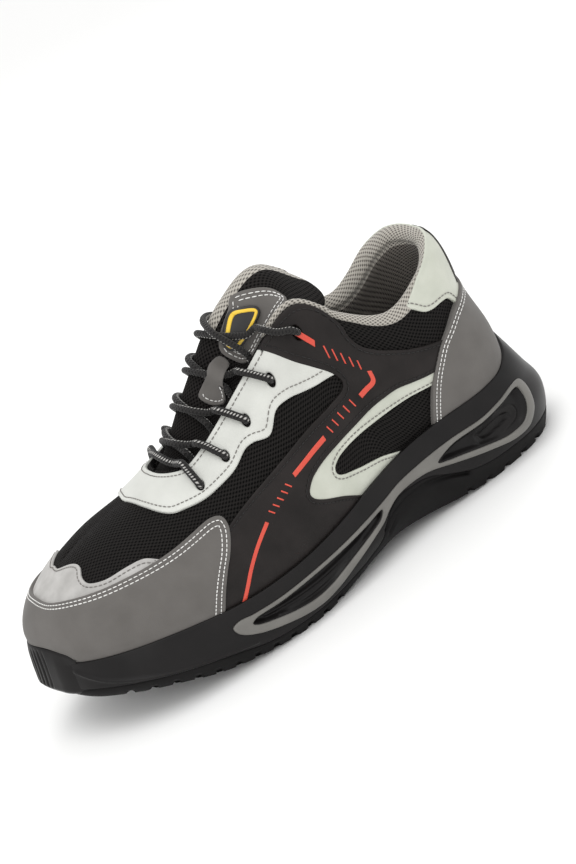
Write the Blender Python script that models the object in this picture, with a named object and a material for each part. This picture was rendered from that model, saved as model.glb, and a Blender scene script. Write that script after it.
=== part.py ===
"""Low-cut safety sneaker for the left foot: toe towards -X, outer side towards -Y, floor at Z = 0.

The shoe is measured along ribs. A rib starts on the shoe's centre line, at a station, and runs outwards
and down to the footbed. Station 0 is the back of the heel and station 1 is the tip of the toe.
A place round the shoe is u: 0 to 1 along the outer side, and 1 to 2 back along the inner side.
A place up a rib is v: 0 at the footbed, TOP_LINE at the collar and lacing edge, and 1 on the ridge.
"""

import bmesh
import bpy
import numpy as np
from mathutils import geometry

MM = 0.001

# Driving sizes of the shoe.
SOLE_LENGTH = 294 * MM
BALL_WIDTH = 106 * MM
STACK = 37 * MM
UPPER_HEIGHT = 100 * MM

# Walls, layers and the clearance between neighbouring pieces.
UPPER_WALL = 2.2 * MM
CLEARANCE = 0.3 * MM
RIM_WALL = 3.4 * MM
INSOLE = 4.0 * MM
OUTSOLE_RIM = 2.4 * MM
OUTSOLE_PLATE = 5.6 * MM

# Toe bumper: how far it starts above the tread's edge, its thickness, and the flutes at its nose.
BUMPER_FOOT = 3.5 * MM
BUMPER_WALL = 2.2 * MM
FLUTE_DEPTH = 0.9 * MM

# Tread: grooves right across the forefoot, and short ones from both edges of the heel.
LUG_DEPTH = 3.2 * MM
LUG_PITCH = 9.6 * MM
GROOVE_WIDTH = 2.6 * MM
FRONT_GROOVES = 12
FRONT_GROOVE_START = -119 * MM
HEEL_GROOVES = 5
HEEL_GROOVE_START = 74 * MM
HEEL_GROOVE_PITCH = 12 * MM
HEEL_GROOVE_REACH = 25 * MM

TOP_LINE = 0.75

# Sideways shift that puts the overall box on the origin.
ASIDE = -0.5 * MM

# Plan of the ribs: where each starts and which way it points, 0 degrees being straight back.
# Columns: station, start along the sole / SOLE_LENGTH, turn in degrees, start across / BALL_WIDTH.
SPINE = [
    (0.00, 0.347, 0, 0.024),
    (0.07, 0.344, 36, 0.024),
    (0.14, 0.323, 70, 0.024),
    (0.22, 0.259, 87, 0.026),
    (0.34, 0.136, 90, 0.029),
    (0.46, 0.014, 90, 0.034),
    (0.58, -0.109, 92, 0.042),
    (0.70, -0.218, 99, 0.051),
    (0.79, -0.286, 114, 0.061),
    (0.87, -0.330, 136, 0.068),
    (0.94, -0.354, 158, 0.073),
    (1.00, -0.364, 180, 0.075),
]

# Footbed height and the floor under the sole, along the shoe.
# Columns: place along the sole / SOLE_LENGTH, footbed / STACK, underside / STACK.
BED = [
    (-0.500, 0.94, 0.72),
    (-0.482, 0.93, 0.67),
    (-0.455, 0.91, 0.57),
    (-0.397, 0.87, 0.44),
    (-0.335, 0.82, 0.31),
    (-0.270, 0.75, 0.15),
    (-0.206, 0.68, 0.06),
    (-0.142, 0.65, 0.01),
    (-0.120, 0.65, 0.00),
    (-0.075, 0.66, 0.00),
    (-0.010, 0.71, 0.07),
    (0.044, 0.78, 0.15),
    (0.094, 0.86, 0.19),
    (0.168, 0.96, 0.14),
    (0.242, 1.00, 0.06),
    (0.316, 1.00, 0.00),
    (0.449, 1.00, 0.00),
    (0.490, 1.00, 0.10),
    (0.520, 1.00, 0.20),
]
# Columns: station, rim above the footbed / STACK.
RIM = [
    (0.00, 0.50),
    (0.04, 0.38),
    (0.07, 0.22),
    (0.10, 0.14),
    (0.14, 0.12),
    (0.22, 0.14),
    (0.46, 0.13),
    (0.70, 0.13),
    (0.79, 0.14),
    (1.00, 0.18),
]

# How high each rib of the upper stands above the footbed, / UPPER_HEIGHT.
# Columns: station, bulge, flank, top line, ridge. Behind station 0.34 the ridge only guides the curve.
UPPER_RISE = [
    (0.00, 0.23, 0.48, 0.79, 0.93),
    (0.07, 0.23, 0.43, 0.75, 0.92),
    (0.14, 0.21, 0.40, 0.66, 0.88),
    (0.22, 0.18, 0.37, 0.605, 0.86),
    (0.28, 0.17, 0.42, 0.74, 0.95),
    (0.34, 0.17, 0.49, 0.945, 1.07),
    (0.40, 0.18, 0.485, 0.91, 1.00),
    (0.46, 0.19, 0.47, 0.825, 0.91),
    (0.58, 0.20, 0.42, 0.655, 0.72),
    (0.70, 0.19, 0.35, 0.533, 0.568),
    (0.79, 0.18, 0.32, 0.465, 0.503),
    (0.87, 0.17, 0.30, 0.413, 0.453),
    (0.94, 0.17, 0.28, 0.370, 0.420),
    (1.00, 0.165, 0.27, 0.355, 0.407),
]

# How far each rib of the upper stands from its start, / BALL_WIDTH.
# Columns: station, footbed, bulge, flank, top line.
UPPER_OUTER = [
    (0.00, 0.273, 0.269, 0.236, 0.212),
    (0.07, 0.282, 0.288, 0.255, 0.226),
    (0.14, 0.301, 0.311, 0.292, 0.245),
    (0.22, 0.318, 0.330, 0.316, 0.264),
    (0.28, 0.325, 0.344, 0.321, 0.259),
    (0.34, 0.343, 0.363, 0.321, 0.241),
    (0.40, 0.372, 0.387, 0.335, 0.203),
    (0.46, 0.409, 0.420, 0.354, 0.175),
    (0.58, 0.460, 0.465, 0.382, 0.170),
    (0.70, 0.458, 0.463, 0.396, 0.170),
    (0.79, 0.432, 0.438, 0.378, 0.174),
    (0.87, 0.372, 0.381, 0.322, 0.158),
    (0.94, 0.304, 0.318, 0.268, 0.140),
    (1.00, 0.283, 0.302, 0.245, 0.132),
]
UPPER_INNER = [
    (0.00, 0.273, 0.269, 0.236, 0.212),
    (0.07, 0.277, 0.283, 0.253, 0.226),
    (0.14, 0.287, 0.302, 0.283, 0.245),
    (0.22, 0.273, 0.302, 0.297, 0.259),
    (0.28, 0.249, 0.292, 0.292, 0.255),
    (0.34, 0.230, 0.283, 0.283, 0.236),
    (0.40, 0.244, 0.292, 0.288, 0.203),
    (0.46, 0.273, 0.316, 0.302, 0.175),
    (0.58, 0.358, 0.373, 0.335, 0.170),
    (0.70, 0.381, 0.387, 0.340, 0.170),
    (0.79, 0.380, 0.385, 0.333, 0.168),
    (0.87, 0.340, 0.348, 0.297, 0.152),
    (0.94, 0.296, 0.310, 0.260, 0.138),
    (1.00, 0.283, 0.302, 0.245, 0.132),
]
# The inner side's collar stands higher than the outer one. Columns: station, extra rise / UPPER_HEIGHT.
INNER_COLLAR = [
    (0.00, 0.000),
    (0.04, 0.025),
    (0.07, 0.060),
    (0.10, 0.095),
    (0.14, 0.110),
    (0.18, 0.080),
    (0.22, 0.045),
    (0.28, 0.020),
    (0.34, 0.000),
    (0.38, 0.000),
    (0.50, 0.000),
    (1.00, 0.000),
]

# The sole's side between the tread's edge and the rim: its widest line and the hollow above it.
# Columns: station, height of the widest line, height of the hollow, / STACK.
SOLE_RISE = [
    (0.00, 0.54, 0.90),
    (0.07, 0.51, 0.86),
    (0.14, 0.47, 0.86),
    (0.22, 0.46, 0.84),
    (0.34, 0.44, 0.76),
    (0.46, 0.36, 0.60),
    (0.58, 0.25, 0.51),
    (0.70, 0.36, 0.60),
    (0.79, 0.52, 0.72),
    (0.87, 0.62, 0.80),
    (0.94, 0.70, 0.86),
    (1.00, 0.74, 0.90),
]
# Distance of the sole's side from the ribs' starts, / BALL_WIDTH.
# Columns: station, tread, widest, hollow. The rim follows the upper.
SOLE_OUTER = [
    (0.00, 0.377, 0.425, 0.386),
    (0.07, 0.358, 0.415, 0.380),
    (0.14, 0.340, 0.405, 0.388),
    (0.22, 0.360, 0.402, 0.392),
    (0.34, 0.362, 0.415, 0.410),
    (0.46, 0.434, 0.486, 0.474),
    (0.58, 0.505, 0.541, 0.524),
    (0.70, 0.498, 0.536, 0.526),
    (0.79, 0.474, 0.514, 0.505),
    (0.87, 0.410, 0.446, 0.440),
    (0.94, 0.346, 0.374, 0.368),
    (1.00, 0.322, 0.352, 0.347),
]
SOLE_INNER = [
    (0.00, 0.377, 0.425, 0.386),
    (0.07, 0.355, 0.408, 0.375),
    (0.14, 0.335, 0.396, 0.375),
    (0.22, 0.310, 0.362, 0.352),
    (0.34, 0.255, 0.310, 0.305),
    (0.46, 0.295, 0.350, 0.343),
    (0.58, 0.395, 0.436, 0.428),
    (0.70, 0.422, 0.462, 0.454),
    (0.79, 0.420, 0.458, 0.450),
    (0.87, 0.376, 0.412, 0.407),
    (0.94, 0.336, 0.363, 0.358),
    (1.00, 0.322, 0.352, 0.347),
]
# Top edge of the outsole: low at the ball, up under the arch and over the toe.
# Columns: station, height / STACK.
PARTING = [
    (0.00, 0.24),
    (0.14, 0.25),
    (0.20, 0.30),
    (0.25, 0.46),
    (0.28, 0.61),
    (0.32, 0.67),
    (0.36, 0.65),
    (0.385, 0.52),
    (0.405, 0.36),
    (0.44, 0.25),
    (0.50, 0.16),
    (0.58, 0.14),
    (0.64, 0.18),
    (0.70, 0.32),
    (0.79, 0.55),
    (0.87, 0.69),
    (0.94, 0.74),
    (1.00, 0.76),
]


# The padded tongue. It lies under the upper at its sides and swells between the lacing edges.
# Columns: station, height of its middle over the upper's ridge / UPPER_HEIGHT, thickness / UPPER_HEIGHT.
TONGUE = [
    (0.24, -0.030, 0.060),
    (0.31, 0.015, 0.080),
    (0.35, 0.065, 0.095),
    (0.40, 0.110, 0.110),
    (0.45, 0.115, 0.105),
    (0.50, 0.090, 0.085),
    (0.55, 0.060, 0.065),
    (0.60, 0.010, 0.042),
    (0.65, -0.040, 0.034),
    (0.72, -0.040, 0.030),
]
# Where the tongue ends at its top: its outer side stands farther back than its inner side.
# Columns: q, station of the top end. q is 1 in the middle and grows towards the inner side.
TONGUE_END = [
    (0.60, 0.400),
    (0.72, 0.360),
    (0.80, 0.296),
    (0.87, 0.266),
    (0.94, 0.266),
    (1.00, 0.284),
    (1.08, 0.318),
    (1.16, 0.350),
    (1.28, 0.382),
    (1.40, 0.400),
]
TONGUE_FRONT = 0.70
TONGUE_SIDE = 0.63


def curve(rows, column, level=True):
    """Smooth curve through one column of a table. It ends level unless told otherwise."""
    xs = [row[0] for row in rows]
    ys = [row[column] for row in rows]
    steps = [(ys[i + 1] - ys[i]) / (xs[i + 1] - xs[i]) for i in range(len(xs) - 1)]
    slopes = [0.0 if level else steps[0]]
    for i in range(1, len(xs) - 1):
        before, after = xs[i] - xs[i - 1], xs[i + 1] - xs[i]
        slopes.append((steps[i - 1] * after + steps[i] * before) / (before + after))
    slopes.append(0.0 if level else steps[-1])

    def value(x):
        x = min(max(x, xs[0]), xs[-1])
        i = 0
        while i < len(xs) - 2 and x > xs[i + 1]:
            i += 1
        h = xs[i + 1] - xs[i]
        s = (x - xs[i]) / h
        return (
            ys[i] * (1 + 2 * s) * (1 - s) ** 2
            + slopes[i] * h * s * (1 - s) ** 2
            + ys[i + 1] * s * s * (3 - 2 * s)
            - slopes[i + 1] * h * s * s * (1 - s)
        )

    return value


spine_x = curve(SPINE, 1)
spine_turn = curve(SPINE, 2, level=False)
spine_y = curve(SPINE, 3)
bed_z = curve(BED, 1)
ground_z = curve(BED, 2, level=False)
rim_rise = curve(RIM, 1)
upper_rise = [curve(UPPER_RISE, k) for k in (1, 2, 3, 4)]
upper_reach = {
    -1: [curve(UPPER_OUTER, k) for k in (1, 2, 3, 4)],
    1: [curve(UPPER_INNER, k) for k in (1, 2, 3, 4)],
}
inner_collar = curve(INNER_COLLAR, 1)
sole_rise = [curve(SOLE_RISE, k) for k in (1, 2)]
sole_reach = {-1: [curve(SOLE_OUTER, k) for k in (1, 2, 3)], 1: [curve(SOLE_INNER, k) for k in (1, 2, 3)]}
parting_z = curve(PARTING, 1)


def rib(u):
    """Side (-1 outer, 1 inner), station, start and outward direction of the rib at u."""
    side, t = (-1, u) if u <= 1 else (1, 2 - u)
    turn = np.radians(spine_turn(t))
    start = np.array([spine_x(t) * SOLE_LENGTH, spine_y(t) * BALL_WIDTH + ASIDE])
    return side, t, start, np.array([np.cos(turn), side * np.sin(turn)])


def bed(x):
    return bed_z(x / SOLE_LENGTH) * STACK


def ground(x):
    return max(ground_z(x / SOLE_LENGTH), 0.0) * STACK


def rib_points(u):
    """Reach and height of the five points that shape the upper along one rib."""
    side, t, start, way = rib(u)
    reach = [part(t) * BALL_WIDTH for part in upper_reach[side]] + [0.0]
    base = bed(start[0] + reach[0] * way[0])
    rise = [0.0] + [part(t) for part in upper_rise]
    if side > 0:
        extra = inner_collar(t)
        rise = [0.0, rise[1], rise[2] + 0.4 * extra, rise[3] + extra, rise[4] + extra]
    return reach, [base + r * UPPER_HEIGHT for r in rise]


def through(points, v, last):
    """Value at v of a curve that passes the five points at v = 0, 1/4, 1/2, 3/4 and 1."""
    v = min(max(v, 0.0), 1.0) * 4
    i = min(int(v), 3)
    s = v - i
    slopes = [2 * (points[1] - points[0]) - (points[2] - points[0]) / 2]
    slopes += [(points[k + 1] - points[k - 1]) / 2 for k in (1, 2, 3)] + [last]
    return (
        points[i] * (1 + 2 * s) * (1 - s) ** 2
        + slopes[i] * s * (1 - s) ** 2
        + points[i + 1] * s * s * (3 - 2 * s)
        - slopes[i + 1] * s * s * (1 - s)
    )


known_ribs = {}


def upper_point(u, v):
    """Place on the outer face of the upper."""
    u = u % 2.0
    if u not in known_ribs:
        known_ribs[u] = rib(u), rib_points(u)
    (side, t, start, way), (reach, height) = known_ribs[u]
    r = through(reach, v, -reach[3])
    z = through(height, v, 0.0)
    return np.array([start[0] + r * way[0], start[1] + r * way[1], z])


def normal_of(surface, u, v, du=0.003, dv=0.006):
    """Outward direction of a surface at u, v."""
    low, high = max(v - dv, 0.0), min(v + dv, 1.0)
    along = surface(u + du, v) - surface(u - du, v)
    up = surface(u, high) - surface(u, low)
    normal = np.cross(up, along)
    return normal / np.linalg.norm(normal)


def on_upper(u, v, lift):
    """Place at a given height over the upper's outer face; below it when lift is negative."""
    return upper_point(u, v) + lift * normal_of(upper_point, u, v)


def upper_reach_at(u, z):
    """How far the upper's outer face stands from the rib's start at height z."""
    low, high = 0.0, 0.6
    for _ in range(22):
        middle = (low + high) / 2
        if upper_point(u, middle)[2] < z:
            low = middle
        else:
            high = middle
    start = rib(u)[2]
    where = upper_point(u, low)
    return float(np.hypot(where[0] - start[0], where[1] - start[1]))


def sole_marks(u):
    """Reach and height of the tread edge, widest line, hollow and rim of the sole along one rib."""
    side, t, start, way = rib(u)
    reach = [part(t) * BALL_WIDTH for part in sole_reach[side]]
    feather = upper_reach[side][0](t) * BALL_WIDTH
    rim = bed(start[0] + feather * way[0]) + rim_rise(t) * STACK
    height = [ground(start[0] + reach[0] * way[0])] + [part(t) * STACK for part in sole_rise]
    reach.append(upper_reach_at(u, rim) + CLEARANCE + RIM_WALL)
    return reach, height + [rim]


known_marks = {}


def sole_side(u, w):
    """Reach and height on the sole's side: w is 0 at the tread's edge and 1 at the rim."""
    u = round(u % 2.0, 9)
    if u not in known_marks:
        known_marks[u] = sole_marks(u)
    reach, height = known_marks[u]
    w = min(max(w, 0.0), 1.0) * 3
    i = min(int(w), 2)
    s = w - i
    out = []
    for marks in (reach, height):
        slopes = [
            1.5 * (marks[1] - marks[0]) - (marks[2] - marks[1]) / 2,
            (marks[2] - marks[0]) / 2,
            (marks[3] - marks[1]) / 2,
            1.5 * (marks[3] - marks[2]) - (marks[2] - marks[1]) / 2,
        ]
        out.append(
            marks[i] * (1 + 2 * s) * (1 - s) ** 2
            + slopes[i] * s * (1 - s) ** 2
            + marks[i + 1] * s * s * (3 - 2 * s)
            - slopes[i + 1] * s * s * (1 - s)
        )
    return out


def sole_level(u, z):
    """The w at which the sole's side reaches height z."""
    low, high = 0.0, 1.0
    for _ in range(22):
        middle = (low + high) / 2
        if sole_side(u, middle)[1] < z:
            low = middle
        else:
            high = middle
    return low


def sole_point(u, w):
    """Place on the outer face of the sole's side."""
    _, _, start, way = rib(u)
    r, z = sole_side(u, w)
    return np.array([start[0] + r * way[0], start[1] + r * way[1], z])


def material(name, colour, rough):
    """A plain Principled material; the colour is linear."""
    made = bpy.data.materials.new(name)
    made.use_nodes = True
    shader = made.node_tree.nodes["Principled BSDF"]
    shader.inputs["Base Color"].default_value = (*colour, 1.0)
    shader.inputs["Roughness"].default_value = rough
    made.diffuse_color = (*colour, 1.0)
    return made


def add_solid(name, points, faces, colour, rough=0.6):
    """A named mesh object whose faces look outwards."""
    mesh = bpy.data.meshes.new(name)
    mesh.from_pydata([tuple(float(c) for c in p) for p in points], [], faces)
    form = bmesh.new()
    form.from_mesh(mesh)
    bmesh.ops.remove_doubles(form, verts=form.verts, dist=0.000002)
    bmesh.ops.dissolve_degenerate(form, edges=form.edges, dist=0.000002)
    bmesh.ops.triangulate(form, faces=form.faces)
    bmesh.ops.recalc_face_normals(form, faces=form.faces)
    if form.calc_volume(signed=True) < 0:
        bmesh.ops.reverse_faces(form, faces=form.faces)
    form.to_mesh(mesh)
    form.free()
    made = bpy.data.objects.new(name, mesh)
    made.data.materials.append(material(name, colour, rough))
    bpy.context.scene.collection.objects.link(made)
    return made


def cut(target, cutters, operation="DIFFERENCE"):
    """Apply exact Booleans and drop the cutters."""
    for tool in cutters:
        tool.hide_render = True
        tool.display_type = "WIRE"
        step = target.modifiers.new("cut", "BOOLEAN")
        step.operation = operation
        step.solver = "EXACT"
        step.object = tool
        done = bpy.data.meshes.new_from_object(target.evaluated_get(bpy.context.evaluated_depsgraph_get()))
        target.modifiers.clear()
        old = target.data
        target.data = done
        bpy.data.meshes.remove(old)
        bpy.data.objects.remove(tool, do_unlink=True)


class Net:
    """Points found by name, so that neighbouring faces share them."""

    def __init__(self):
        self.points = []
        self.faces = []
        self.known = {}

    def point(self, key, where):
        if key not in self.known:
            self.known[key] = len(self.points)
            self.points.append(where)
        return self.known[key]

    def strip(self, first, second):
        """Quads between two rows of points."""
        for a, b, c, d in zip(first, first[1:], second[1:], second):
            ring = [k for i, k in enumerate((a, b, c, d)) if k not in (a, b, c, d)[:i]]
            if len(ring) > 2:
                self.faces.append(ring)


def rib_solid(name, stations, profile, colour, rough=0.6):
    """A closed body over the shoe's whole plan. Each rib's profile runs from centre line to centre line."""
    net = Net()
    last = len(stations) - 1
    rows = {}
    for side in (-1, 1):
        for i, t in enumerate(stations):
            u = t if side < 0 else 2 - t
            _, _, start, way = rib(u)
            marks = profile(u)
            shared = 0 if i in (0, last) else side
            row = []
            for j, (r, z) in enumerate(marks):
                where = (start[0] + r * way[0], start[1] + r * way[1], z)
                middle = j in (0, len(marks) - 1)
                row.append(net.point(("middle", i, j) if middle else (shared, i, j), where))
            rows[side, i] = row
    for side in (-1, 1):
        for i in range(last):
            net.strip(rows[side, i], rows[side, i + 1])
    return add_solid(name, net.points, net.faces, colour, rough)


def stations_between(first, last, count):
    return [first + (last - first) * i / count for i in range(count + 1)]


SOLE_STATIONS = sorted(
    set(stations_between(0.0, 0.20, 7) + stations_between(0.20, 0.60, 10) + stations_between(0.60, 0.82, 5)
        + stations_between(0.82, 1.0, 7))
)


def floor_level(x):
    return bed(x) - CLEARANCE


def midsole_profile(u):
    _, t, start, way = rib(u)
    parting = parting_z(t) * STACK
    level = sole_level(u, parting + CLEARANCE / 2)
    plate = OUTSOLE_PLATE + CLEARANCE
    corner = sole_side(u, 0.0)[0] - OUTSOLE_RIM - CLEARANCE
    bottom = ground(start[0] + corner * way[0]) + plate
    marks = [(0.0, ground(start[0]) + plate)]
    marks.append((corner / 2, ground(start[0] + corner / 2 * way[0]) + plate))
    hidden = sole_side(u, level)
    inset = OUTSOLE_RIM + CLEARANCE
    ledge = hidden[1]
    bottom = min(bottom, ledge - 0.4 * MM)
    low = sole_side(u, sole_level(u, bottom))[0] - inset
    marks.append((low, bottom))
    middle = (bottom + ledge) / 2
    marks.append((sole_side(u, sole_level(u, middle))[0] - inset, middle))
    marks.append((hidden[0] - inset, ledge))
    marks.append((hidden[0], ledge))
    for k in (1, 2, 3):
        marks.append(tuple(sole_side(u, level + (1 - level) * k / 3)))
    rim = sole_side(u, 1.0)[1]
    floor_reach = upper_reach_at(u, -1.0) + 2 * CLEARANCE
    floor_z = floor_level(start[0] + floor_reach * way[0])
    for part in (1.0, 0.4):
        z = floor_z + (rim - floor_z) * part
        marks.append((upper_reach_at(u, z) + CLEARANCE, z))
    marks.append((floor_reach, floor_z))
    marks.append((floor_reach / 2, floor_level(start[0] + floor_reach / 2 * way[0])))
    marks.append((0.0, floor_level(start[0])))
    return marks


def outsole_profile(u):
    _, t, start, way = rib(u)
    parting = parting_z(t) * STACK
    level = sole_level(u, parting - CLEARANCE / 2)
    edge = sole_side(u, 0.0)[0]
    marks = [(0.0, ground(start[0])), (edge / 2, ground(start[0] + edge / 2 * way[0]))]
    for k in (0, 1, 2, 3):
        marks.append(tuple(sole_side(u, level * k / 3)))
    top = marks[-1]
    marks.append((top[0] - OUTSOLE_RIM, top[1]))
    corner = edge - OUTSOLE_RIM - CLEARANCE
    plate = OUTSOLE_PLATE
    bottom = min(ground(start[0] + corner * way[0]) + plate, top[1] - 0.4 * MM)
    middle = (bottom + top[1]) / 2
    marks.append((sole_side(u, sole_level(u, middle))[0] - OUTSOLE_RIM, middle))
    marks.append((sole_side(u, sole_level(u, bottom))[0] - OUTSOLE_RIM, bottom))
    marks.append((corner / 2, ground(start[0] + corner / 2 * way[0]) + plate))
    marks.append((0.0, ground(start[0]) + plate))
    return marks


def groove_bar(points, faces, x, first, last):
    """Adds one straight groove cutter across the sole, between two places across the shoe."""
    base = len(points)
    for place in (x - GROOVE_WIDTH / 2, x + GROOVE_WIDTH / 2):
        level = ground(place)
        for y in (first, last):
            points.append((place, y, level - 4 * MM))
            points.append((place, y, level + LUG_DEPTH))
    for ring in ((0, 1, 3, 2), (4, 6, 7, 5), (0, 4, 5, 1), (2, 3, 7, 6), (0, 2, 6, 4), (1, 5, 7, 3)):
        faces.append([base + k for k in ring])


def tread_cutter():
    """All the grooves of the tread in one cutter."""
    points, faces = [], []
    wide = BALL_WIDTH * 0.8
    for k in range(FRONT_GROOVES):
        groove_bar(points, faces, FRONT_GROOVE_START + k * LUG_PITCH, -wide, wide)
    for k in range(HEEL_GROOVES):
        x = HEEL_GROOVE_START + k * HEEL_GROOVE_PITCH
        half = 0.36 * BALL_WIDTH
        groove_bar(points, faces, x, -wide, HEEL_GROOVE_REACH - half)
        groove_bar(points, faces, x, half - HEEL_GROOVE_REACH, wide)
    return add_solid("tread_cutter", points, faces, (0.5, 0.5, 0.5))


# Top edge of the toe bumper. Columns: station, v.
BUMPER_TOP = [(0.892, 0.088), (0.900, 0.112), (0.912, 0.140), (0.940, 0.172), (0.970, 0.190), (1.000, 0.195)]
BUMPER_END = 0.892
BUMPER_STATIONS = [0.892, 0.899, 0.907, 0.917, 0.928, 0.939, 0.950]
BUMPER_STATIONS += [0.950 + 0.00625 * k for k in range(1, 9)]
bumper_top = curve(BUMPER_TOP, 1)


def sole_reach_at(u, z):
    return sole_side(u, sole_level(u, z))[0]


def bumper_ring(u, flute):
    """One closed ring of the toe bumper: up its outer face and down against the upper and the sole."""
    _, t, start, way = rib(u)
    rim = sole_side(u, 1.0)[1]
    top = max(upper_point(u, bumper_top(t))[2], rim + 1.0 * MM)
    low = sole_side(u, 0.0)[1] + BUMPER_FOOT
    gap = 2 * CLEARANCE
    fade = min((t - BUMPER_END) / 0.035, 1.0)
    thick = 0.7 * MM + (BUMPER_WALL - 0.7 * MM) * fade * fade * (3 - 2 * fade)
    dent = FLUTE_DEPTH if flute else 0.0
    ring = [(sole_reach_at(u, low) + gap + 0.5 * MM, low)]
    for part in (0.12, 0.40, 0.70, 1.0):
        z = low + (rim - low) * part
        ring.append((sole_reach_at(u, z) + gap + thick - dent, z))
    over = upper_reach_at(u, top) + 2.6 * MM
    ring.append(((ring[-1][0] + over) / 2, (rim + top) / 2))
    ring.append((over, top))
    ring.append((upper_reach_at(u, top) + 0.6 * MM, top))
    ring.append((upper_reach_at(u, rim + gap) + 0.6 * MM, rim + gap))
    ring.append((sole_reach_at(u, rim) + gap, rim + gap))
    for part in (0.70, 0.40):
        z = low + (rim - low) * part
        ring.append((sole_reach_at(u, z) + gap, z))
    ring.append((sole_reach_at(u, low) + gap, low))
    return [(start[0] + r * way[0], start[1] + r * way[1], z) for r, z in ring]


def add_bumper():
    net = Net()
    stations = BUMPER_STATIONS + [2.0 - t for t in reversed(BUMPER_STATIONS[:-1])]
    rows = []
    for i, u in enumerate(stations):
        flute = abs(u - 1.0) < 0.045 and i % 2 == 1
        rows.append([net.point((i, j), where) for j, where in enumerate(bumper_ring(u, flute))])
    for first, second in zip(rows, rows[1:]):
        net.strip(first + first[:1], second + second[:1])
    net.faces += [list(rows[0]), list(reversed(rows[-1]))]
    return add_solid("toe_bumper", net.points, net.faces, (0.018, 0.017, 0.017), 0.6)


UPPER_STATIONS = sorted(
    set(stations_between(0.0, 0.20, 7) + stations_between(0.20, 0.60, 13) + stations_between(0.60, 0.66, 4)
        + stations_between(0.66, 0.82, 5) + stations_between(0.82, 1.0, 7))
)
THROAT_SIDES = 0.585
THROAT_FRONT = 0.642
ROWS_UP = 7


def top_edge(t):
    """The v at which the upper ends: the collar and throat edge, closing round the front of the throat."""
    if t <= THROAT_SIDES:
        return TOP_LINE
    s = min((t - THROAT_SIDES) / (THROAT_FRONT - THROAT_SIDES), 1.0)
    return 1.0 - (1.0 - TOP_LINE) * np.sqrt(max(1.0 - s * s, 0.0))


def add_upper():
    net = Net()
    last = len(UPPER_STATIONS) - 1
    rows = {}
    for side in (-1, 1):
        for i, t in enumerate(UPPER_STATIONS):
            u = t if side < 0 else 2 - t
            edge = top_edge(t)
            shared = 0 if i in (0, last) else side
            for layer, lift in ((0, 0.0), (1, -UPPER_WALL)):
                row = []
                for j in range(ROWS_UP + 1):
                    v = edge * j / ROWS_UP
                    joined = j == ROWS_UP and edge > 0.9999
                    where = on_upper(u, v, lift)
                    if joined:
                        where = (where + on_upper(2 - u, v, lift)) / 2
                    row.append(net.point(("ridge", i, layer) if joined else (shared, i, j, layer), where))
                rows[side, i, layer] = row
    for side in (-1, 1):
        for i in range(last):
            for layer in (0, 1):
                net.strip(rows[side, i, layer], rows[side, i + 1, layer])
            ends = [0, ROWS_UP] if top_edge(UPPER_STATIONS[i]) < 0.9999 else [0]
            for j in ends:
                first = [rows[side, i, 0][j], rows[side, i, 1][j]]
                net.strip(first, [rows[side, i + 1, 0][j], rows[side, i + 1, 1][j]])
    return add_solid("upper", net.points, net.faces, (0.012, 0.012, 0.013), 0.9)


def insole_profile(u):
    _, _, start, way = rib(u)
    v = 0.03
    inner = on_upper(u, v, -UPPER_WALL)
    reach = float(np.hypot(inner[0] - start[0], inner[1] - start[1])) - 1.2 * MM
    marks = []
    for lift, parts in ((0.0, (0.0, 0.5, 1.0)), (INSOLE, (1.0, 0.5, 0.0))):
        for part in parts:
            r = reach * part - (0.8 * MM if lift and part == 1.0 else 0.0)
            marks.append((r, bed(start[0] + r * way[0]) + lift))
    return marks


# Layers over the upper's outer face, bottom and top of each.
UNDER, OVER, OUTMOST = (0.5 * MM, 1.2 * MM), (1.9 * MM, 2.6 * MM), (2.9 * MM, 3.6 * MM)
ON_RIM = -1.0

# Outlines of the pieces sewn on the upper. Columns: u, v, 1 at a corner.
# ON_RIM means just above the sole's rim.
TOE_CAP = [
    (1.000, 0.632, 0),
    (0.970, 0.620, 0),
    (0.940, 0.592, 0),
    (0.910, 0.564, 0),
    (0.875, 0.545, 0),
    (0.826, 0.530, 0),
    (0.780, 0.526, 0),
    (0.720, 0.530, 0),
    (0.670, 0.541, 0),
    (0.628, 0.540, 0),
    (0.609, 0.512, 0),
    (0.609, 0.455, 0),
    (0.626, 0.365, 0),
    (0.645, 0.280, 0),
    (0.664, 0.170, 0),
    (0.682, ON_RIM, 1),
    (0.740, ON_RIM, 0),
    (0.800, ON_RIM, 0),
    (0.850, ON_RIM, 0),
    (0.884, ON_RIM, 1),
    (0.893, 0.135, 0),
    (0.910, 0.165, 0),
    (0.940, 0.195, 0),
    (0.970, 0.212, 0),
    (1.000, 0.216, 0),
]
TOE_TRIM = [
    (1.000, 0.905, 0),
    (0.970, 0.882, 0),
    (0.930, 0.832, 0),
    (0.868, 0.765, 0),
    (0.848, 0.730, 0),
    (0.840, 0.695, 0),
    (0.838, 0.640, 0),
    (0.826, 0.592, 0),
    (0.800, 0.572, 0),
    (0.765, 0.578, 0),
    (0.738, 0.572, 0),
    (0.718, 0.532, 1),
    (0.735, 0.500, 0),
    (0.800, 0.500, 0),
    (0.875, 0.512, 0),
    (0.920, 0.532, 0),
    (0.960, 0.570, 0),
    (1.000, 0.590, 0),
]
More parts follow.
